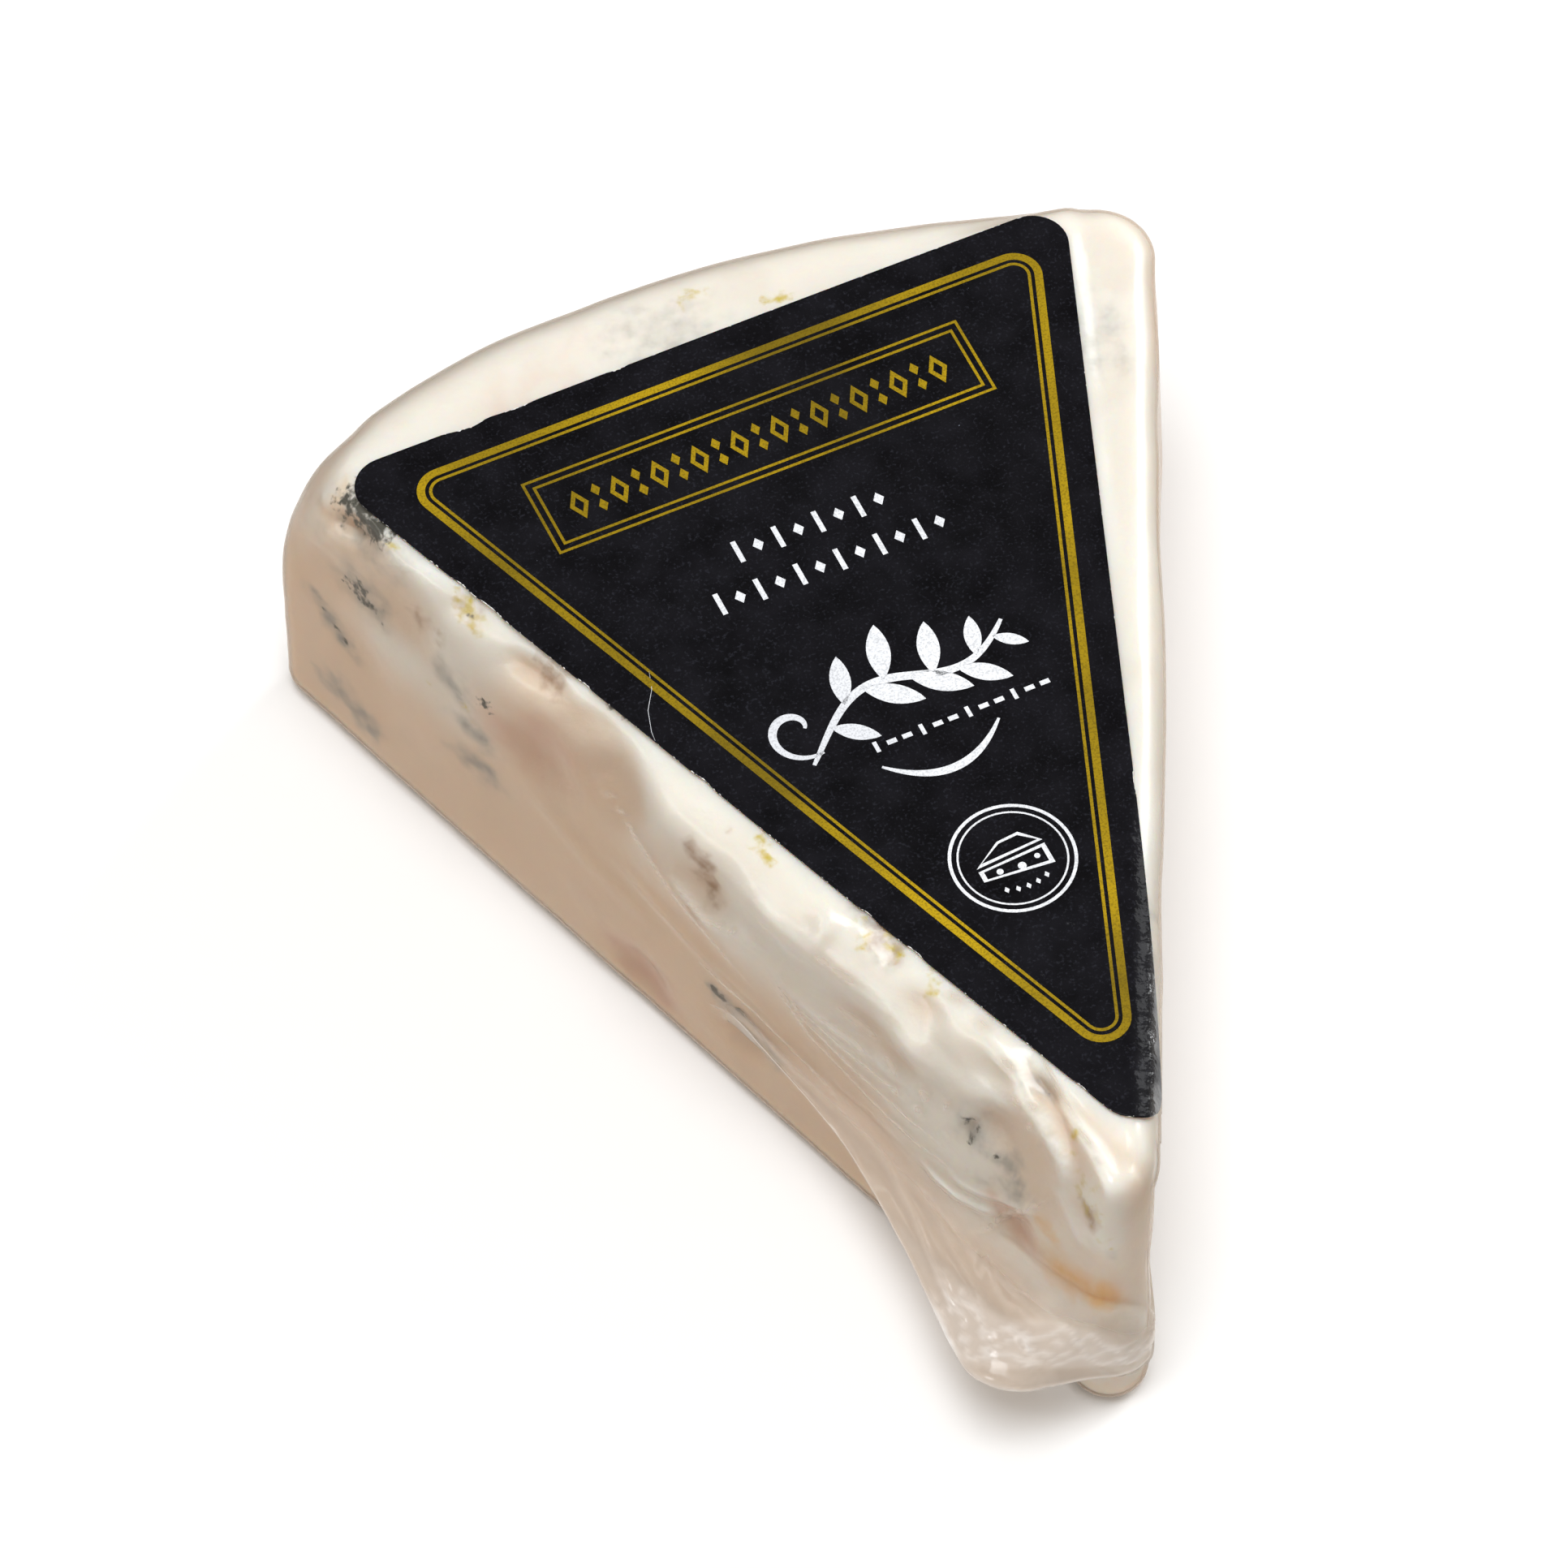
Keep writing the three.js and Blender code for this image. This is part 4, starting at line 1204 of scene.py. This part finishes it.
def circle(x, y, radius, steps=48):
    angles = np.linspace(0, 2 * math.pi, steps, endpoint=False)
    return np.column_stack([x + radius * np.cos(angles), y + radius * np.sin(angles)])


def lozenge(x, y, width, height):
    return np.array([(x + width / 2, y), (x, y + height / 2), (x - width / 2, y), (x, y - height / 2)])


def leaf(x, y, length, width, angle):
    """A pointed leaf from its stalk end at (x, y)."""
    t = np.linspace(0, 1, 12)
    half = width / 2 * np.sin(math.pi * t) ** 0.8
    along, aside = np.concatenate([t, t[-2:0:-1]]) * length, np.concatenate([-half, half[-2:0:-1]])
    shape = np.column_stack([along, aside])
    c, s_ = math.cos(angle), math.sin(angle)
    return shape @ np.array([[c, s_], [-s_, c]]) + (x, y)


border_shift = 0.55
border_inset = 3.35
line_step = 1.13  # from the outer edge of the broad line to that of the thin one
whole_side = 99  # longer than any side, so that a side stays one piece
side_shares = np.linspace(0, 1, 60, endpoint=False)


def divided(ring):
    """The outline with its long straight sides cut into short pieces, so that they bend with the paper."""
    points = []
    for a, b in zip(ring, np.roll(ring, -1, 0)):
        points.append([a + (b - a) * t for t in (side_shares if math.dist(a, b) > 5 else [0])])
    return np.concatenate(points)


gold = Print("gold_ink")
for inset, width, corner_radius in ((border_inset, 0.78, 2.7), (border_inset + line_step, 0.3, 1.6)):
    outer = rounded_triangle(inset, corner_radius, whole_side, border_shift)
    inner = rounded_triangle(inset + width, corner_radius - width, whole_side, border_shift)
    gold.band(divided(outer), divided(inner))

plate_middle = (0.2, -12.8)
plate_width, plate_height = 44.9, 8.85
plate_line = 0.28
lozenge_step = 2.05
for margin in (0, 0.82):
    width, height = plate_width - 2 * margin, plate_height - 2 * margin
    outer = rectangle(*plate_middle, width, height)
    scale = np.array([width - 2 * plate_line, height - 2 * plate_line]) / (width, height)
    gold.band(outer, (outer - plate_middle) * scale + plate_middle)
for i in range(-9, 10):
    x = plate_middle[0] + lozenge_step * i
    if i % 2:
        outer, inner = lozenge(x, plate_middle[1], 1.9, 3.5), lozenge(x, plate_middle[1], 0.95, 1.75)
        gold.band(outer, inner)
    else:
        gold.patch(lozenge(x, plate_middle[1] + 0.95, 0.95, 1.5))
        gold.patch(lozenge(x, plate_middle[1] - 0.95, 0.95, 1.5))


def ink_material(name, colour, worn, metallic, roughness):
    material = bpy.data.materials.new(name)
    material.use_nodes = True
    tree = material.node_tree
    shader = tree.nodes["Principled BSDF"]
    tone = mix_colour(tree, (0, 0), cloud(tree, (-1, 0), 22, 5, 3.2, 1.0), colour, worn)
    speck = node(tree, "ShaderNodeMapRange", (0, 2), interpolation_type="SMOOTHSTEP")
    tree.links.new(cloud(tree, (-1, 2), 0.2, 3, 1.6, 2.0), speck.inputs["Value"])
    fill(speck, From_Min=0.25, From_Max=0.6, To_Min=0.45, To_Max=0)
    tone = mix_colour(tree, (1, 0), speck.outputs["Result"], tone, tuple(0.45 * c for c in worn))
    tree.links.new(tone, shader.inputs["Base Color"])
    bump = fill(node(tree, "ShaderNodeBump", (1, 2)), Strength=0.35, Distance=0.00005)
    tree.links.new(cloud(tree, (0, 3), 0.25, 3, 1.6, 7.0), bump.inputs["Height"])
    tree.links.new(bump.outputs["Normal"], shader.inputs["Normal"])
    fill(shader, Metallic=metallic, Roughness=roughness, Specular_IOR_Level=0.2)
    return material


gold.finish(ink_material("gold_ink", (0.50, 0.33, 0.004), (0.20, 0.135, 0.003), 0.35, 0.45))

white = Print("white_ink")
for y, half, height in ((-23.9, 7.2, 2.5), (-28.6, 11.2, 2.5)):
    count = round(2 * half / lozenge_step)
    for i in range(count + 1):
        x = -half + 2 * half * i / count
        if i % 2:
            white.patch(lozenge(x, y, 1.1, 1.5))
        else:
            white.patch(rectangle(x, y, 0.5, height, 1))

# The sprig: one long swaying stem with leaves on both sides and a curl at its foot.
t = np.linspace(0, 1, 60)
stem = np.column_stack([-11 + 22.5 * t, -47.5 + 7.5 * t + 2.4 * np.sin(2 * math.pi * t - 0.4)])
white.stroke(stem, 0.35 + 0.55 * np.sin(math.pi * t) ** 0.7)
for i, share in enumerate(np.linspace(0.14, 0.93, 9)):
    x, y = (float(np.interp(share, t, stem[:, axis])) for axis in (0, 1))
    swing = 0.95 if i % 2 else -0.95
    length = 5.6 * math.sin(math.pi * (0.16 + 0.72 * share)) + 0.6
    white.patch(leaf(x, y, length, 0.36 * length, 0.33 + swing))
turns = np.linspace(0, 1, 50)
curl_radius = 3.4 * (1 - 0.78 * turns)
curl_angle = -1.2 - 5.2 * turns
curl_x, curl_y = curl_radius * np.cos(curl_angle), curl_radius * np.sin(curl_angle)
curl = np.column_stack([-9.6 + curl_x - 1.2, -47.5 + curl_y + 3.2])
white.stroke(curl, 0.3 + 0.5 * np.sin(math.pi * turns))
under = np.column_stack([-5.5 + 12 * t, -54.2 + 3.0 * (2 * t - 1) ** 2 + 0.4 * t])
white.stroke(under, 0.25 + 0.6 * np.sin(math.pi * t))
for i in range(12):
    white.patch(rectangle(-5.0 + 1.55 * i, -49.0, 0.95 if i % 3 else 0.4, 0.5 if i % 3 else 1.2, 1))

# A hairline crease, which shows the white of the paper.
crease_line = np.array([(-20.3, -32.7), (-20.9, -34.6), (-22.2, -36.6), (-22.9, -38.9), (-23.0, -39.9)])
white.stroke(crease_line, [0.02, 0.04, 0.05, 0.04, 0.02])

# The badge: two rings round a small wedge of cheese with holes.
badge = (0.9, -65.2)
for radius, width in ((5.9, 0.32), (5.1, 0.18)):
    white.band(circle(*badge, radius), circle(*badge, radius - width))
wedge_mark = np.array([(-3.5, -1.3), (3.3, -2.0), (3.3, 0.3), (-3.5, -0.1)])
lid_mark = np.array([(-3.5, 0.25), (3.3, 0.7), (1.6, 2.4), (-0.6, 2.2)])
for shape in (wedge_mark, lid_mark):
    middle = shape.mean(0)
    white.band(shape + badge, middle + (shape - middle) * np.array([0.87, 0.7]) + badge)
for x, y, radius in ((-1.7, -0.85, 0.32), (0.4, -1.1, 0.4), (2.1, -0.7, 0.28)):
    white.patch(circle(badge[0] + x, badge[1] + y, radius, 16))
for i in range(5):
    white.patch(lozenge(badge[0] - 2 + i, badge[1] - 3.3 + 0.1 * (i - 2) ** 2, 0.5, 0.7))
white.finish(ink_material("white_ink", (0.78, 0.80, 0.83), (0.66, 0.68, 0.72), 0.0, 0.5))
